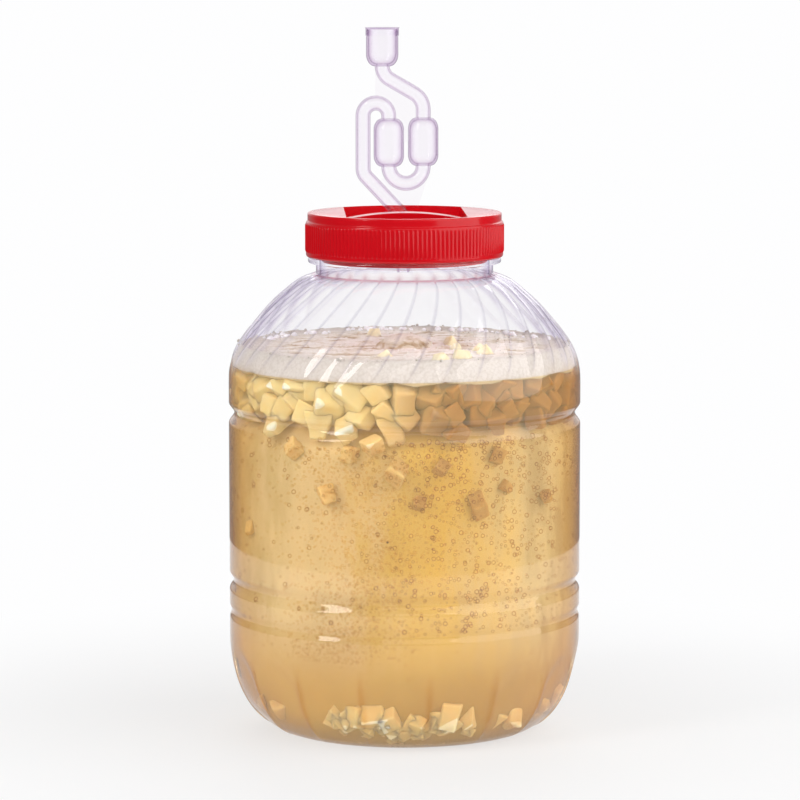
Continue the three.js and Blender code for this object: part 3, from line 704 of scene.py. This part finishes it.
def make_jar():
    bore = NECK_R - NECK_WALL
    neck = [(NECK_R, RING_BOTTOM - 0.8), (NECK_R + 0.8, RING_BOTTOM), (RING_R - 1, RING_BOTTOM),
            (RING_R - 0.3, RING_BOTTOM + 0.3), (RING_R, RING_BOTTOM + 1), (RING_R, RING_TOP - 1),
            (RING_R - 0.3, RING_TOP - 0.3), (RING_R - 1, RING_TOP), (NECK_R + 0.6, RING_TOP),
            (NECK_R, RING_TOP + 0.6), (NECK_R, MOUTH - 0.6), (NECK_R - 0.5, MOUTH), (bore + 0.5, MOUTH),
            (bore, MOUTH - 0.6), (bore, RING_BOTTOM)]
    inside = inset(BODY_WALL)
    inside = [[r if up < 0.94 else max(r, bore), z, base, up] for r, z, base, up in inside]
    inside[-1] = [bore, SHOULDER_TOP - 1.6, 1, 1]
    rows = [fluted_row(r) for r in OUTLINE + [(r, z, 1, 1) for r, z in neck] + inside[::-1]]
    shell = joined(loose(rings(rows, AROUND)), thread_ridges(NECK_R, 1, THREAD_Z, 0, 130), "UNION")
    shell.name = shell.data.name = "jar_shell"
    mark_surface(shell.data)
    finish_piece(shell, JAR, "jar", ("jar_body",), 50)


make_jar()


# Contents

FROTH_TOP = FROTH_Z + FROTH_T
pick = random.Random(7)


def make_juice():
    """The juice's clear outer layer."""
    around = 192
    level = FROTH_Z + 1.0
    rows = [r for r in inset(BODY_WALL - 0.12) if r[1] < level - 0.5]
    rows.append([rows[-1][0], level, *rows[-1][2:]])
    shape = rings([fluted_row(r, around) for r in rows] + [[(0, 0, level)]], around)
    piece("juice_layer", shape, JUICE, "jar", ("must_liquid",))


def haze_row(radius, z, around):
    """A row of the haze, uneven where it is wide."""
    row = []
    for k in range(around):
        a = TURN * k / around
        r = radius * (1 + 0.03 * noise.noise(Vector((*polar(a, 2.2), z / 34))))
        row.append((*polar(a, r), z))
    return row


def make_haze():
    """The cloudy core of the juice, narrower behind the raft and round the fruit on the floor."""
    around = 144
    level = FROTH_Z + 1.0
    floor_row = [(0, 11), (30, 10.5), (52, 8)]
    wide = [(64, 4.5)]
    for t in [math.pi / 2 * k / 13 for k in range(1, 14)]:
        z = 4 + (CORNER_H - 4) * (1 - math.cos(t))
        wide.append((FOOT_R - 6 - 7 * smooth_step(z, 6, 34) + (BODY_R - FOOT_R) * math.sin(t), z))
    wide += [(BODY_R - 13 - 8 * smooth_step(z, 186, 204), z) for z in np.linspace(CORNER_H + 4, level, 24)]
    rows = [circle(r, z, around) for r, z in floor_row] + [haze_row(r, z, around) for r, z in wide]
    piece("juice_haze", rings(rows + [[(0, 0, level)]], around), HAZE_AND_PAINTED_LIGHT, "jar")


make_juice()
make_haze()


def lumps(x, y, size, seed):
    return noise.noise(Vector((x / size, y / size, seed)))


def froth_top(x, y):
    """The foam's height at a place: lumps, a low mound in front of the middle and a rise at the wall."""
    z = FROTH_TOP - 1.2
    mound = math.hypot(x / MOUND_R, (y + MOUND_FORWARD) / MOUND_R) + 0.05 * lumps(x, y, 8, 7.7)
    rough = smooth_step(mound, 0.9, 1.3)
    z += rough * (0.8 * lumps(x, y, 17, 3.1) + 0.6 * lumps(x, y, 6, 9.4))
    z += (0.25 + 0.75 * rough) * 0.35 * lumps(x, y, 2.6, 5.2)
    if mound < 1:
        z += MOUND_H * (1 - max(0.0, mound) ** 2) ** 0.72
    return z + 2.2 * smooth_step(math.hypot(x, y), 97, 109)


def make_froth():
    """The layer of foam: a ragged underside, a side that follows the jar's wall and the lumpy top."""
    around, top_rows = 300, 75
    wall = [r for r in inset(BODY_WALL - 0.05) if FROTH_Z - 6 < r[1] < FROTH_TOP + 6]
    heights = [r[1] for r in wall]
    angles = [TURN * k / around for k in range(around)]

    def wall_radius(z, angle):
        i = min(max(int(np.searchsorted(heights, z)) - 1, 0), len(wall) - 2)
        t = (z - heights[i]) / (heights[i + 1] - heights[i])
        share = (z - SHOULDER_Z) / SHOULDER_H
        press = shoulder_press(angle - FLUTE_START - SWIRL * share, share)
        return wall[i][0] + t * (wall[i + 1][0] - wall[i][0]) - press

    ragged = []
    for a in angles:
        fine, coarse = (Vector((n * math.sin(a), n * math.cos(a), seed)) for n, seed in ((31, 4.4), (9, 1.7)))
        ragged.append(FROTH_Z + 1.6 * noise.noise(coarse) + 0.8 * noise.noise(fine))
    tops = [froth_top(*from_front(a, 108.5)) for a in angles]
    rows = [[(0, 0, FROTH_Z - 0.5)],
            [(*from_front(a, 96), z) for a, z in zip(angles, ragged)],
            [(*from_front(a, wall_radius(z, a) - 0.7), z - 0.2) for a, z in zip(angles, ragged)]]
    for s in (0.04, 0.2, 0.4, 0.6, 0.8, 0.96):
        side = [low + (top - low) * s for low, top in zip(ragged, tops)]
        rows.append([(*from_front(a, wall_radius(z, a)), z) for a, z in zip(angles, side)])
    edge = [wall_radius(FROTH_TOP, a) - 0.5 for a in angles]
    for k in range(1, top_rows):
        row = [from_front(a, r * (1 - k / top_rows)) for a, r in zip(angles, edge)]
        rows.append([(x, y, froth_top(x, y)) for x, y in row])
    rows.append([(0, 0, froth_top(0, 0))])
    piece("froth_layer", rings(rows, around), FOAM, "jar", ("froth",), sharp=0)


def balls(places, subdivisions):
    """One shape of many small balls, given as (x, y, z, radius)."""
    bm = bmesh.new()
    bmesh.ops.create_icosphere(bm, subdivisions=subdivisions, radius=1)
    unit = np.array([v.co[:] for v in bm.verts])
    tris = np.array([[v.index for v in f.verts] for f in bm.faces])
    bm.free()
    places = np.array(places, float)
    verts = (unit[None] * places[:, 3, None, None] + places[:, None, :3]).reshape(-1, 3)
    faces = (tris[None] + (np.arange(len(places)) * len(unit))[:, None, None]).reshape(-1, 3)
    return verts, faces.tolist()


def make_froth_bubbles():
    fine, clear = [], []
    for k in range(900):
        x, y = from_front(pick.uniform(0, TURN), 107 * math.sqrt(pick.uniform(0.02, 1)))
        size = 0.5 + 0.8 * pick.random() ** 3
        fine.append((x, y, froth_top(x, y) - size * 0.25, size))
    for k in range(64):
        x, y = from_front(math.pi + pick.uniform(-1.25, 1.25), pick.uniform(90, 100))
        size = pick.uniform(1.1, 2.3)
        clear.append((x, y, froth_top(x, y) + size * 0.1, size))
    piece("froth_bubbles", balls(fine, 2), FOAM, "jar", sharp=0)
    piece("froth_edge_bubbles", balls(clear, 3), FOAM_BUBBLE, "jar", sharp=0)


make_froth()
make_froth_bubbles()


def soft_block(index, size, stretch=(1, 1, 1)):
    """A cut piece of fruit: a rough block with rounded edges, slanted faces and slight hollows."""
    rng = random.Random(1000 + index)
    bm = bmesh.new()
    bmesh.ops.create_cube(bm, size=1)
    for v in bm.verts:
        for i in range(3):
            v.co[i] *= 1 + rng.uniform(-0.2, 0.2)
    bmesh.ops.bevel(bm, geom=list(bm.edges), offset=0.16 * rng.uniform(0.6, 1.1), segments=2, profile=0.6,
                    affect="EDGES")
    long_edges = [e for e in bm.edges if e.calc_length() > 0.4]
    bmesh.ops.subdivide_edges(bm, edges=long_edges, cuts=2, use_grid_fill=True)
    seed = rng.uniform(0, 50)
    taper, lean = rng.uniform(0.35, 1.0), rng.uniform(-0.25, 0.25)
    for v in bm.verts:
        v.co += v.co.normalized() * 0.05 * noise.noise(v.co * 2.3 + Vector((seed, 0, 0)))
        low = 0.5 - v.co.z
        v.co.x = v.co.x * (1 - (1 - taper) * low) + lean * low
        v.co.y *= 1 - (1 - taper) * 0.5 * low
        v.co.z *= 1.2
    bmesh.ops.triangulate(bm, faces=bm.faces)
    verts = np.array([v.co[:] for v in bm.verts]) * np.array(stretch) * size
    faces = [tuple(v.index for v in f.verts) for f in bm.faces]
    bm.free()
    return verts, faces


def random_turn(rng, lean):
    """A random turn, as a matrix for points that stand on its left."""
    angles = [rng.uniform(-lean, lean), rng.uniform(-lean, lean), rng.uniform(0, TURN)]
    return np.array(Euler(angles).to_matrix()).T


def node_block(index, node, name, material):
    """The softened piece that stands for one fruit solid: its size and place come from the solid."""
    low, high = (np.array(v[:]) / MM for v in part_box(node))
    verts, faces = soft_block(index, 1.0)
    verts = verts @ random_turn(pick, 0.5)
    span = verts.max(0) - verts.min(0)
    middle = (verts.max(0) + verts.min(0)) / 2
    verts = (verts - middle) * min((high - low) / span) * 0.98 + (low + high) / 2
    piece(name, (verts, faces), material, "jar", (node,), sharp=0)


for n in range(1, 31):
    node_block(n, f"fruit_raft_{n:02d}", f"raft_block_{n:02d}", FLESH)
for n in range(1, 7):
    node_block(40 + n, f"fruit_bottom_{n:02d}", f"floor_block_{n:02d}", FLESH_LOW)


def many_blocks(name, material, places):
    """Several blocks as one piece, from a dict of (x, y, z, size) by the blocks' numbers."""
    verts, faces, count = [], [], 0
    for index, (x, y, z, size) in places.items():
        rng = random.Random(2000 + index)
        v, f = soft_block(index, size, (1, rng.uniform(0.8, 1.1), rng.uniform(0.7, 1)))
        verts.append(v @ random_turn(rng, 1) + np.array([x, y, z]))
        faces += [tuple(i + count for i in t) for t in f]
        count += len(v)
    piece(name, (np.concatenate(verts), faces), material, "jar", sharp=0)


def raft_places():
    """Layers of fruit under the foam, close to the wall but inside it."""
    out = []
    for height, radius, count, spread in ((226, 104, 44, 3.0), (214, 103, 40, 4.5), (202, 103, 20, 5.0),
                                          (219, 95, 40, 6)):
        for k in range(count):
            a = TURN * (k + pick.uniform(-0.3, 0.3)) / count
            size = pick.uniform(12, 18)
            r = min(radius + pick.uniform(-4, 3), 108.6 - size * 0.6)
            out.append((*from_front(a, r), height + pick.uniform(-spread, spread), size))
    return out


def tip_places():
    """Fruit that pokes out of the foam, at (column, row, size) in the picture."""
    out = []
    for column, row, size in ((387, 357, 9), (451, 343, 10), (454, 348, 8), (478, 350, 9), (487, 353, 10),
                              (462, 358, 10), (440, 361, 11), (375, 333, 8)):
        y = (FOAM_ROW - row) / FOAM_ROWS_A_MM
        x = (column - AXIS_COLUMN) * PIXEL * (CAMERA_AWAY + y) / CAMERA_AWAY
        out.append((x, y, froth_top(x, y) - size * 0.16, size))
    return out


def pictured(radius, spots):
    """Places inside the jar, at a radius, that show at (column, row, size) in the picture."""
    out = []
    for column, row, size in spots:
        phi = math.asin((column - AXIS_COLUMN) * PIXEL / radius)
        rise = (AIM_ROW - row) * PIXEL / math.cos(VIEW_DOWN)
        z = AIM_Z + rise + radius * math.cos(phi) * math.tan(VIEW_DOWN)
        out.append((*from_front(phi, radius), z, size))
    return out


def floor_places():
    """Fruit heaped round the floor, most of it at the front."""
    out = []
    for n in range(52):
        a = pick.gauss(0.06, 0.36) if n < 36 else pick.uniform(0, TURN)
        r = pick.uniform(80, 92)
        size = pick.uniform(9, 15)
        t = math.asin(min(1, max(0, (r + size * 0.5 - FOOT_R) / (BODY_R - FOOT_R))))
        out.append((*from_front(a, r), CORNER_H * (1 - math.cos(t)) + 4 + size * 0.45, size))
    return out


def numbered(first, places):
    return dict(enumerate(places, first))


FRONT_DRIFT = ((375, 445, 12), (395, 468, 13), (330, 492, 11), (352, 452, 10), (300, 448, 10), (257, 528, 9))
SHADED = ((475, 501, 12), (540, 495, 8), (495, 454, 9), (418, 500, 8), (440, 466, 8), (502, 484, 7))

many_blocks("raft_fill", FLESH, numbered(0, raft_places()))
many_blocks("froth_tips", FLESH_TIP, numbered(600, tip_places()))
back_drift = [(*from_front(math.pi + pick.uniform(-1.4, 1.4), 98), pick.uniform(120, 190),
               pick.uniform(8, 12)) for n in range(9)]
drift = numbered(300, pictured(101, FRONT_DRIFT)) | numbered(330, back_drift)
many_blocks("drifting_blocks", FLESH_LOW, drift)
many_blocks("shaded_blocks", FLESH_SHADED, numbered(320, pictured(102, SHADED)))
many_blocks("floor_fill", FLESH_LOW, numbered(400, floor_places()))


def wall_place(phi, z, depth):
    """A point inside the jar's wall, at a depth from it."""
    r = BODY_R - BODY_WALL - 0.6 - depth
    if z < CORNER_H:
        r -= (BODY_R - FOOT_R) * (1 - math.sqrt(max(0, 1 - ((CORNER_H - z) / CORNER_H) ** 2)))
    for height, dip, reach in GROOVES:
        if abs(z - height) < reach + 1:
            r -= dip
    return (*from_front(phi, r), z)


def make_gas():
    """Gas bubbles at the wall, most of them right of the front, and finer beads in a plume left of it."""
    clear, beads = [], []
    for n in range(1500):
        phi = pick.gauss(rad(24), rad(22)) if pick.random() < 0.62 else pick.uniform(0, TURN)
        z = 196 - 120 * pick.random() ** 1.35
        size = 0.6 + 1.0 * pick.random() ** 2
        clear.append((*wall_place(phi, z, size + 7 * pick.random() ** 3), size))
    for n in range(3000):
        if pick.random() < 0.75:
            z = pick.uniform(58, 192)
            phi = pick.gauss(rad(-17 - 8 * math.sin(z / 30)), rad(11 + 7 * (z - 58) / 134))
        else:
            phi, z = pick.uniform(0, TURN), pick.uniform(45, 200)
        size = 0.5 + 0.5 * pick.random() ** 2
        beads.append((*wall_place(phi, z, size + 2 * pick.random() ** 2), size))
    piece("gas_bubbles", balls(clear, 2), GAS_BUBBLE, "jar", sharp=0)
    piece("gas_beads", balls(beads, 2), GAS_BEAD, "jar", sharp=0)


make_gas()


# Lid

LID_BORE, SKIRT_R, BAND_R = 60.3, 62.75, 61.7
RIBS, RIB_POINTS, RIB_DEPTH = 140, 7, 0.55
RIBS_LOW, RIBS_HIGH = LID_BOTTOM + 2.6, LID_BOTTOM + 21.5
LINER_T = 1.4
PLATE_BOTTOM = MOUTH + GAP + LINER_T + GAP
LEDGE = PLATE_BOTTOM + 2
PLUG_R, WELL_R, WELL_HALF, RIM_R = 52.8, 50.8, 38, 59.5
BAR_R, BAR_T, BAR_WIDTH = 182, 4.2, 14
BUSH_BORE, BUSH_R, FLANGE_R = STEM_R + GAP, 6.25, 7.95


def lid_outside():
    """The lid's outside with its grip ribs, closed on the axis."""
    around = RIBS * RIB_POINTS
    plug = [(0, PLUG_BOTTOM), (PLUG_R - 0.4, PLUG_BOTTOM), (PLUG_R, PLUG_BOTTOM + 0.4),
            (PLUG_R, PLATE_BOTTOM), (LID_BORE, PLATE_BOTTOM)]
    foot = [(LID_BORE, 0.5), (60.8, 0), (61.7, 0), (62.3, 0.3), (62.65, 0.9), (SKIRT_R, 1.6), (SKIRT_R, 2.3)]
    rise = [0, 0.4, 0.9, 1.5]
    ribbed = [RIBS_LOW + up for up in rise] + [(RIBS_LOW + RIBS_HIGH) / 2]
    ribbed += [RIBS_HIGH - up for up in rise[::-1]]
    step = [(62.7, 0.4), (62.45, 0.9), (61.9, 1.15), (BAND_R, 1.5), (BAND_R, 2.0)]
    brim = [(BAND_R, 1.6), (BAND_R, 1.0), (61.6, 0.5), (61.3, 0.15), (60.9, 0), (0, 0)]
    points = plug + [(r, LID_BOTTOM + up) for r, up in foot] + [(SKIRT_R, z) for z in ribbed]
    points += [(r, RIBS_HIGH + up) for r, up in step] + [(r, LID_TOP - down) for r, down in brim]
    rows = []
    for radius, z in points:
        row = circle(radius, z, around)
        if radius == SKIRT_R:
            fade = smooth_step(z, RIBS_LOW, RIBS_LOW + 1.6) * (1 - smooth_step(z, RIBS_HIGH - 1.6, RIBS_HIGH))
            row = []
            for k in range(around):
                rib = max(0.0, math.cos(TURN * ((k % RIB_POINTS) / RIB_POINTS))) ** 1.3
                row.append((*polar(TURN * k / around, radius + RIB_DEPTH * rib * fade), z))
        rows.append(row)
    return rings(rows, around)


def grip_bar():
    """The arched bar across the well."""
    half = WELL_HALF + 1
    centre = LID_TOP - 0.1 - BAR_R
    outline = []
    for radius, side in ((BAR_R, 1), (BAR_R - BAR_T, -1)):
        reach = math.asin(half / radius) * side
        arc = np.linspace(-reach, reach, 40)
        outline += [(radius * math.sin(a), centre + radius * math.cos(a)) for a in arc]
    return loose(extruded(outline, BAR_WIDTH))


def make_lid():
    well = prism(rounded(strip(WELL_R, WELL_HALF), 2.5), WELL_BOTTOM, LID_TOP + 1)
    ledge = prism(rounded(strip(RIM_R, WELL_HALF), 1.5), LEDGE, LID_TOP + 1)
    pockets = [prism(strip(WELL_R, WELL_HALF + 2, sign, 24), PLUG_BOTTOM - 1, LID_TOP - 2)
               for sign in (1, -1)]
    lid = joined(loose(lid_outside()), [loose(s) for s in (well, ledge, *pockets)], "DIFFERENCE")
    lid = joined(lid, [grip_bar(), *thread_ridges(LID_BORE, -1, THREAD_Z - 2.6, 15, 95)], "UNION")
    hole_r = BUSH_R + GAP
    low, high = PLUG_BOTTOM - 1, WELL_BOTTOM + 1
    hole = turned([(0, low), (hole_r, low), (hole_r, high), (0, high)], 64, 0, BUSH_BACK)
    lid = joined(lid, [loose(hole)], "DIFFERENCE")
    lid.data.transform(Matrix.Rotation(LID_TURN, 4, "Z"))
    lid.name = lid.data.name = "lid_moulding"
    bevel = lid.modifiers.new("soft_edges", "BEVEL")
    bevel.width, bevel.segments, bevel.limit_method, bevel.angle_limit = 0.35 * MM, 2, "ANGLE", rad(50)
    bevel.use_clamp_overlap = True
    finish_piece(lid, LID, "lid", ("lid_cap",), 40)


def make_seals():
    """The sealing ring on the jar's mouth, and the rubber bush with a flange on each side of the floor."""
    inner, outer, low = PLUG_R + GAP, 57.5, MOUTH + GAP
    ring = [(inner, low), (outer, low), (outer, low + LINER_T), (inner, low + LINER_T)]
    piece("seal_ring", turned(ring, 192, closed=True), LINER, "liner", ("lid_liner",))
    under, over = PLUG_BOTTOM - GAP, WELL_BOTTOM + GAP
    low, high = under - FLANGE_T, over + FLANGE_T
    section = [(BUSH_BORE, low), (FLANGE_R - 0.45, low), (FLANGE_R, low + 0.5), (FLANGE_R, under - 0.4),
               (FLANGE_R - 0.35, under), (BUSH_R, under), (BUSH_R, over), (FLANGE_R - 0.35, over),
               (FLANGE_R, over + 0.5), (FLANGE_R, high - 0.5), (FLANGE_R - 0.55, high), (BUSH_BORE, high)]
    bush = turned(section, 72, STEM_AXIS.x, STEM_AXIS.y, True)
    piece("bush", bush, RUBBER, "grommet", ("grommet",))


make_lid()
make_seals()


# Bubbler

CUP_X, RIGHT_X, LEFT_X, RISER_X = -13.4, 12.8, -9.2, -25.7
UPPER_BEND, LOWER_BEND = 9.6, 12
STEM_END = PLUG_BOTTOM - GAP - FLANGE_T - 6
STEM_TOP = STEM_END + 36
U_BOTTOM = STEM_TOP + 21
BULB_BOTTOM = U_BOTTOM + 11.4
BULB_L, BULB_R, BULB_ROUND, BULB_SHIFT = 30.6, 9.7, 7, 0.6
BULB_TOP, BULB_MIDDLE = BULB_BOTTOM + BULB_L, BULB_BOTTOM + BULB_L / 2
TOP_BEND = BULB_TOP + 9.4
CROSS, DIAGONAL = rad(30.2), rad(46.8)
CROSS_TURN = math.tan((math.pi / 2 - CROSS) / 2)
CROSS_LOW = BULB_TOP + 5.2 + LOWER_BEND * CROSS_TURN
CROSS_HIGH = CROSS_LOW + (RIGHT_X - CUP_X) * math.tan(CROSS)
CUP_BOTTOM = CROSS_HIGH + UPPER_BEND * CROSS_TURN
CUP_TOP = CUP_BOTTOM + 23.4
CUP_R, CUP_WALL, CUP_ROUND = 10.3, 1.2, 7.6
CUP_STEP, CUP_STEP_H = 0.55, 4.2
CAP_WALL, CAP_PLATE, CAP_LIP, VENT_R = 0.6, 1, 0.35, 0.9


def route(first, last):
    """Points and directions of the tube's centre line in the plane of the bubbler."""
    corners = [(CUP_X, first, 0), (CUP_X, CROSS_HIGH, UPPER_BEND), (RIGHT_X, CROSS_LOW, LOWER_BEND),
               (RIGHT_X, U_BOTTOM, 11), (LEFT_X, U_BOTTOM, 11), (LEFT_X, TOP_BEND, 8.25),
               (RISER_X, TOP_BEND, 8.25), (RISER_X, STEM_TOP - RISER_X * math.tan(DIAGONAL), 8),
               (0, STEM_TOP, 6), (0, last, 0)]
    out = []
    for i, (x, z, bend) in enumerate(corners):
        here = Vector((x, z))
        if i == 0 or i == len(corners) - 1:
            other = Vector(corners[1 if i == 0 else -2][:2])
            way = (other - here).normalized() * (1 if i == 0 else -1)
            out.append((here, way))
            continue
        came = (here - Vector(corners[i - 1][:2])).normalized()
        goes = (Vector(corners[i + 1][:2]) - here).normalized()
        turn = came.angle(goes)
        inward = (goes - came * math.cos(turn)).normalized()
        start = here - came * bend * math.tan(turn / 2)
        steps = max(2, math.ceil(turn / rad(7)))
        for k in range(steps + 1):
            a = turn * k / steps
            point = start + came * bend * math.sin(a) + inward * bend * (1 - math.cos(a))
            if (point - out[-1][0]).length > 0.1:
                out.append((point, came * math.cos(a) + inward * math.sin(a)))
    return out


def rod(points, radius, sides):
    rows = []
    for p, way in points:
        side = Vector((-way.y, way.x))
        row = []
        for k in range(sides):
            across = math.cos(TURN * k / sides)
            row.append((p.x + side.x * radius * across, radius * math.sin(TURN * k / sides),
                        p.y + side.y * radius * across))
        rows.append(row)
    return capped(rows)


def flare(r0, r1, z, height, steps=10):
    """A quarter round from one radius to a wider one."""
    quarter = [math.pi / 2 * k / steps for k in range(steps + 1)]
    return [(r0 + (r1 - r0) * math.sin(t), z + height * (1 - math.cos(t))) for t in quarter]


def bulb(x, bottom, wall):
    low, high = bottom + wall, bottom + BULB_L - wall
    up = flare(TUBE_R - wall, BULB_R - wall, low, BULB_ROUND)
    down = [(r, low + high - z) for r, z in reversed(up)]
    return loose(turned([(0, low), *up, *down, (0, high)], 48, x))


def cup(wall, top):
    low = CUP_BOTTOM + wall
    start = TUBE_R - (TUBE_WALL if wall else 0)
    side = flare(start, CUP_R - wall, low, CUP_ROUND)
    return loose(turned([(0, low), *side, (CUP_R - wall, top), (0, top)], 64, CUP_X))


def bulbs(wall):
    return [bulb(RIGHT_X, BULB_BOTTOM, wall), bulb(LEFT_X, BULB_BOTTOM - BULB_SHIFT, wall)]


def web_plates():
    """The thin plates between the tubes."""
    near_cup = CUP_X - TUBE_R + 0.3
    upper = [(near_cup, CUP_BOTTOM + 1), (near_cup, TOP_BEND), (LEFT_X, BULB_TOP),
             (LEFT_X + BULB_R / 2, BULB_MIDDLE), (RIGHT_X - BULB_R / 2, BULB_MIDDLE), (RIGHT_X, BULB_TOP),
             (RIGHT_X, CROSS_LOW), (CUP_X, CROSS_HIGH), (CUP_X, CUP_BOTTOM + 1)]
    out = RISER_X * 0.75
    lower = [(RIGHT_X + TUBE_R / 2, U_BOTTOM + TUBE_R / 2), (2 * STEM_R, STEM_TOP + TUBE_R / 2),
             (STEM_R - 1, STEM_TOP - TUBE_R), (0, STEM_TOP), (out, STEM_TOP - out * math.tan(DIAGONAL)),
             (LEFT_X, U_BOTTOM + TUBE_R), ((LEFT_X + RIGHT_X) / 2, U_BOTTOM)]
    return [loose(extruded(upper, 1.0)), loose(extruded(lower, 1.0))]


def make_airlock():
    foot = STEM_TOP - 12 * math.tan(DIAGONAL / 2)
    stem = loose(turned([(0, STEM_END), (STEM_R - 0.4, STEM_END), (STEM_R, STEM_END + 0.8),
                         (STEM_R, foot - 6), (TUBE_R, foot), (0, foot)], 48))
    body = rod(route(CUP_BOTTOM + 1, foot - 1), TUBE_R, 32)
    body = joined(body, [stem, cup(0, CUP_TOP), *bulbs(0), *web_plates()], "UNION")
    bore = rod(route(CUP_BOTTOM + 2, foot - 2), TUBE_R - TUBE_WALL, 28)
    bore_r = STEM_R - 1
    stem_bore = turned([(0, STEM_END - 1), (bore_r, STEM_END - 1), (bore_r, foot - 1), (0, foot - 1)], 32)
    bore = joined(bore, [loose(stem_bore), cup(CUP_WALL, CUP_TOP + 1), *bulbs(TUBE_WALL)], "UNION")
    inner, outer, low, high = CUP_R - CUP_STEP, CUP_R + 1, CUP_TOP - CUP_STEP_H, CUP_TOP + 1
    rim = loose(turned([(inner, low), (outer, low), (outer, high), (inner, high)], 64, CUP_X, closed=True))
    body = joined(body, [bore, rim], "DIFFERENCE")
    body.data.transform(Matrix.Translation(STEM_AXIS * MM))
    body.name = body.data.name = "bubbler"
    finish_piece(body, AIRLOCK, "airlock", ("airlock_body",), 40)


def make_cap():
    inner = CUP_R - CUP_STEP + GAP
    outer = inner + CAP_WALL
    low, under = CUP_TOP - CUP_STEP_H + GAP, CUP_TOP + GAP
    top = under + CAP_PLATE
    section = [(VENT_R, under), (inner - 0.3, under), (inner, under - 0.3), (inner, low), (outer, low),
               (outer, top - 0.5), (outer + CAP_LIP, top - 0.25), (outer + CAP_LIP, top), (VENT_R, top)]
    cap = turned(section, 96, CUP_X + STEM_AXIS.x, STEM_AXIS.y, True)
    piece("cup_cap", cap, AIRLOCK, "dust_cap", ("airlock_dust_cap",))


make_airlock()
make_cap()


# Camera, lamps, world and floor, in metres

PAPER = (0.99, 0.99, 0.995, 1)


def aimed(name, data, place, target):
    """A camera or lamp that looks from a place at a target."""
    obj = bpy.data.objects.new(name, data)
    obj.location = place
    obj.rotation_mode = "QUATERNION"
    obj.rotation_quaternion = (Vector(target) - Vector(place)).to_track_quat("-Z", "Y")
    bpy.context.scene.collection.objects.link(obj)
    return obj


def lamp(name, place, target_z, size, power):
    data = bpy.data.lights.new(name, "AREA")
    data.shape, data.size, data.size_y, data.energy = "RECTANGLE", *size, power
    aimed(name, data, place, (0, 0, target_z))


def make_world():
    """White for the camera and through plastic. What shiny things mirror is dark before, bright behind."""
    bpy.context.scene.world = bpy.data.worlds.new("studio")
    bpy.context.scene.world.use_nodes = True
    w = Nodes(bpy.context.scene.world.node_tree)
    w.nodes.clear()
    path = w.node("LightPath").outputs
    back = w.part(w.place("Y", "Generated"), -1.0, 1.0, how="LINEAR")
    tones = ((0, 0.06), (0.55, 0.08), (0.8, 0.2), (0.93, 0.7), (0.98, 0.99))
    shade = w.ramp(back, *((at, (v, v * 0.985, min(1, v * 1.01), 1)) for at, v in tones))
    low = w.part(w.place("Z", "Generated"), -0.08, 0.02, 0.3, 1.0, how="LINEAR")
    dim = w.node("VectorMath", operation="SCALE", in0=shade, Scale=low).outputs[0]
    through = w.mix(path["Is Transmission Ray"], dim, (1, 0.995, 1, 1))
    studio = w.node("Background", Color=through, Strength=1.0)
    ambient = w.node("Background", Color=WHITE, Strength=0.42)
    paper = w.node("Background", Color=PAPER, Strength=1.0)
    direct = w.math("LESS_THAN", path["Diffuse Depth"], 0.5)
    shiny = w.math("MULTIPLY", w.math("MAXIMUM", path["Is Glossy Ray"], path["Is Transmission Ray"]), direct)
    unseen = w.mix_shaders(shiny, ambient.outputs[0], studio.outputs[0])
    w.node("OutputWorld", Surface=w.mix_shaders(path["Is Camera Ray"], unseen, paper.outputs[0]))


def make_floor():
    """White paper that takes a soft shadow near the jar and runs into the background further out."""
    edge = [(*polar(TURN * k / 96, 800), -0.4) for k in range(96)]
    floor = mesh_object("floor", (edge, [tuple(range(96))]))
    m = Material("floor_white")
    m.set(Base_Color=(0.9, 0.9, 0.9, 1), Roughness=0.6, Specular_IOR_Level=0.2)
    paper = m.node("Emission", Color=PAPER, Strength=1.0).outputs[0]
    path = m.node("LightPath").outputs
    seen = m.math("MAXIMUM", path["Is Camera Ray"], path["Is Glossy Ray"])
    seen = m.math("MAXIMUM", seen, path["Is Transmission Ray"])
    fade = m.part(m.vector("LENGTH", "Value", m.here()), 0.13, 0.5, 0.62, 1.0)
    share = m.math("MULTIPLY", seen, fade)
    m.feed(m.output.inputs["Surface"], m.mix_shaders(share, m.shader.outputs["BSDF"], paper))
    floor.data.materials.append(m.data)


bpy.context.scene.view_settings.view_transform = "Standard"
camera = aimed("camera", bpy.data.cameras.new("camera"), (-0.0029, -2.5375, 0.517), (-0.0029, 0, 0.210))
camera.data.lens = 180
bpy.context.scene.camera = camera
lamp("key", (2.1, -0.85, 1.2), 0.2, (3.2, 2.8), 44)
lamp("fill", (0.5, -2.7, 1.6), 0.15, (2.6, 1.6), 11)
lamp("window", (-1.45, -1.15, 1.3), 0.25, (0.52, 1.5), 14)
lamp("back", (0.3, 1.9, 1.3), 0.25, (1.6, 1.0), 9)
make_world()
make_floor()

bpy.context.view_layer.update()
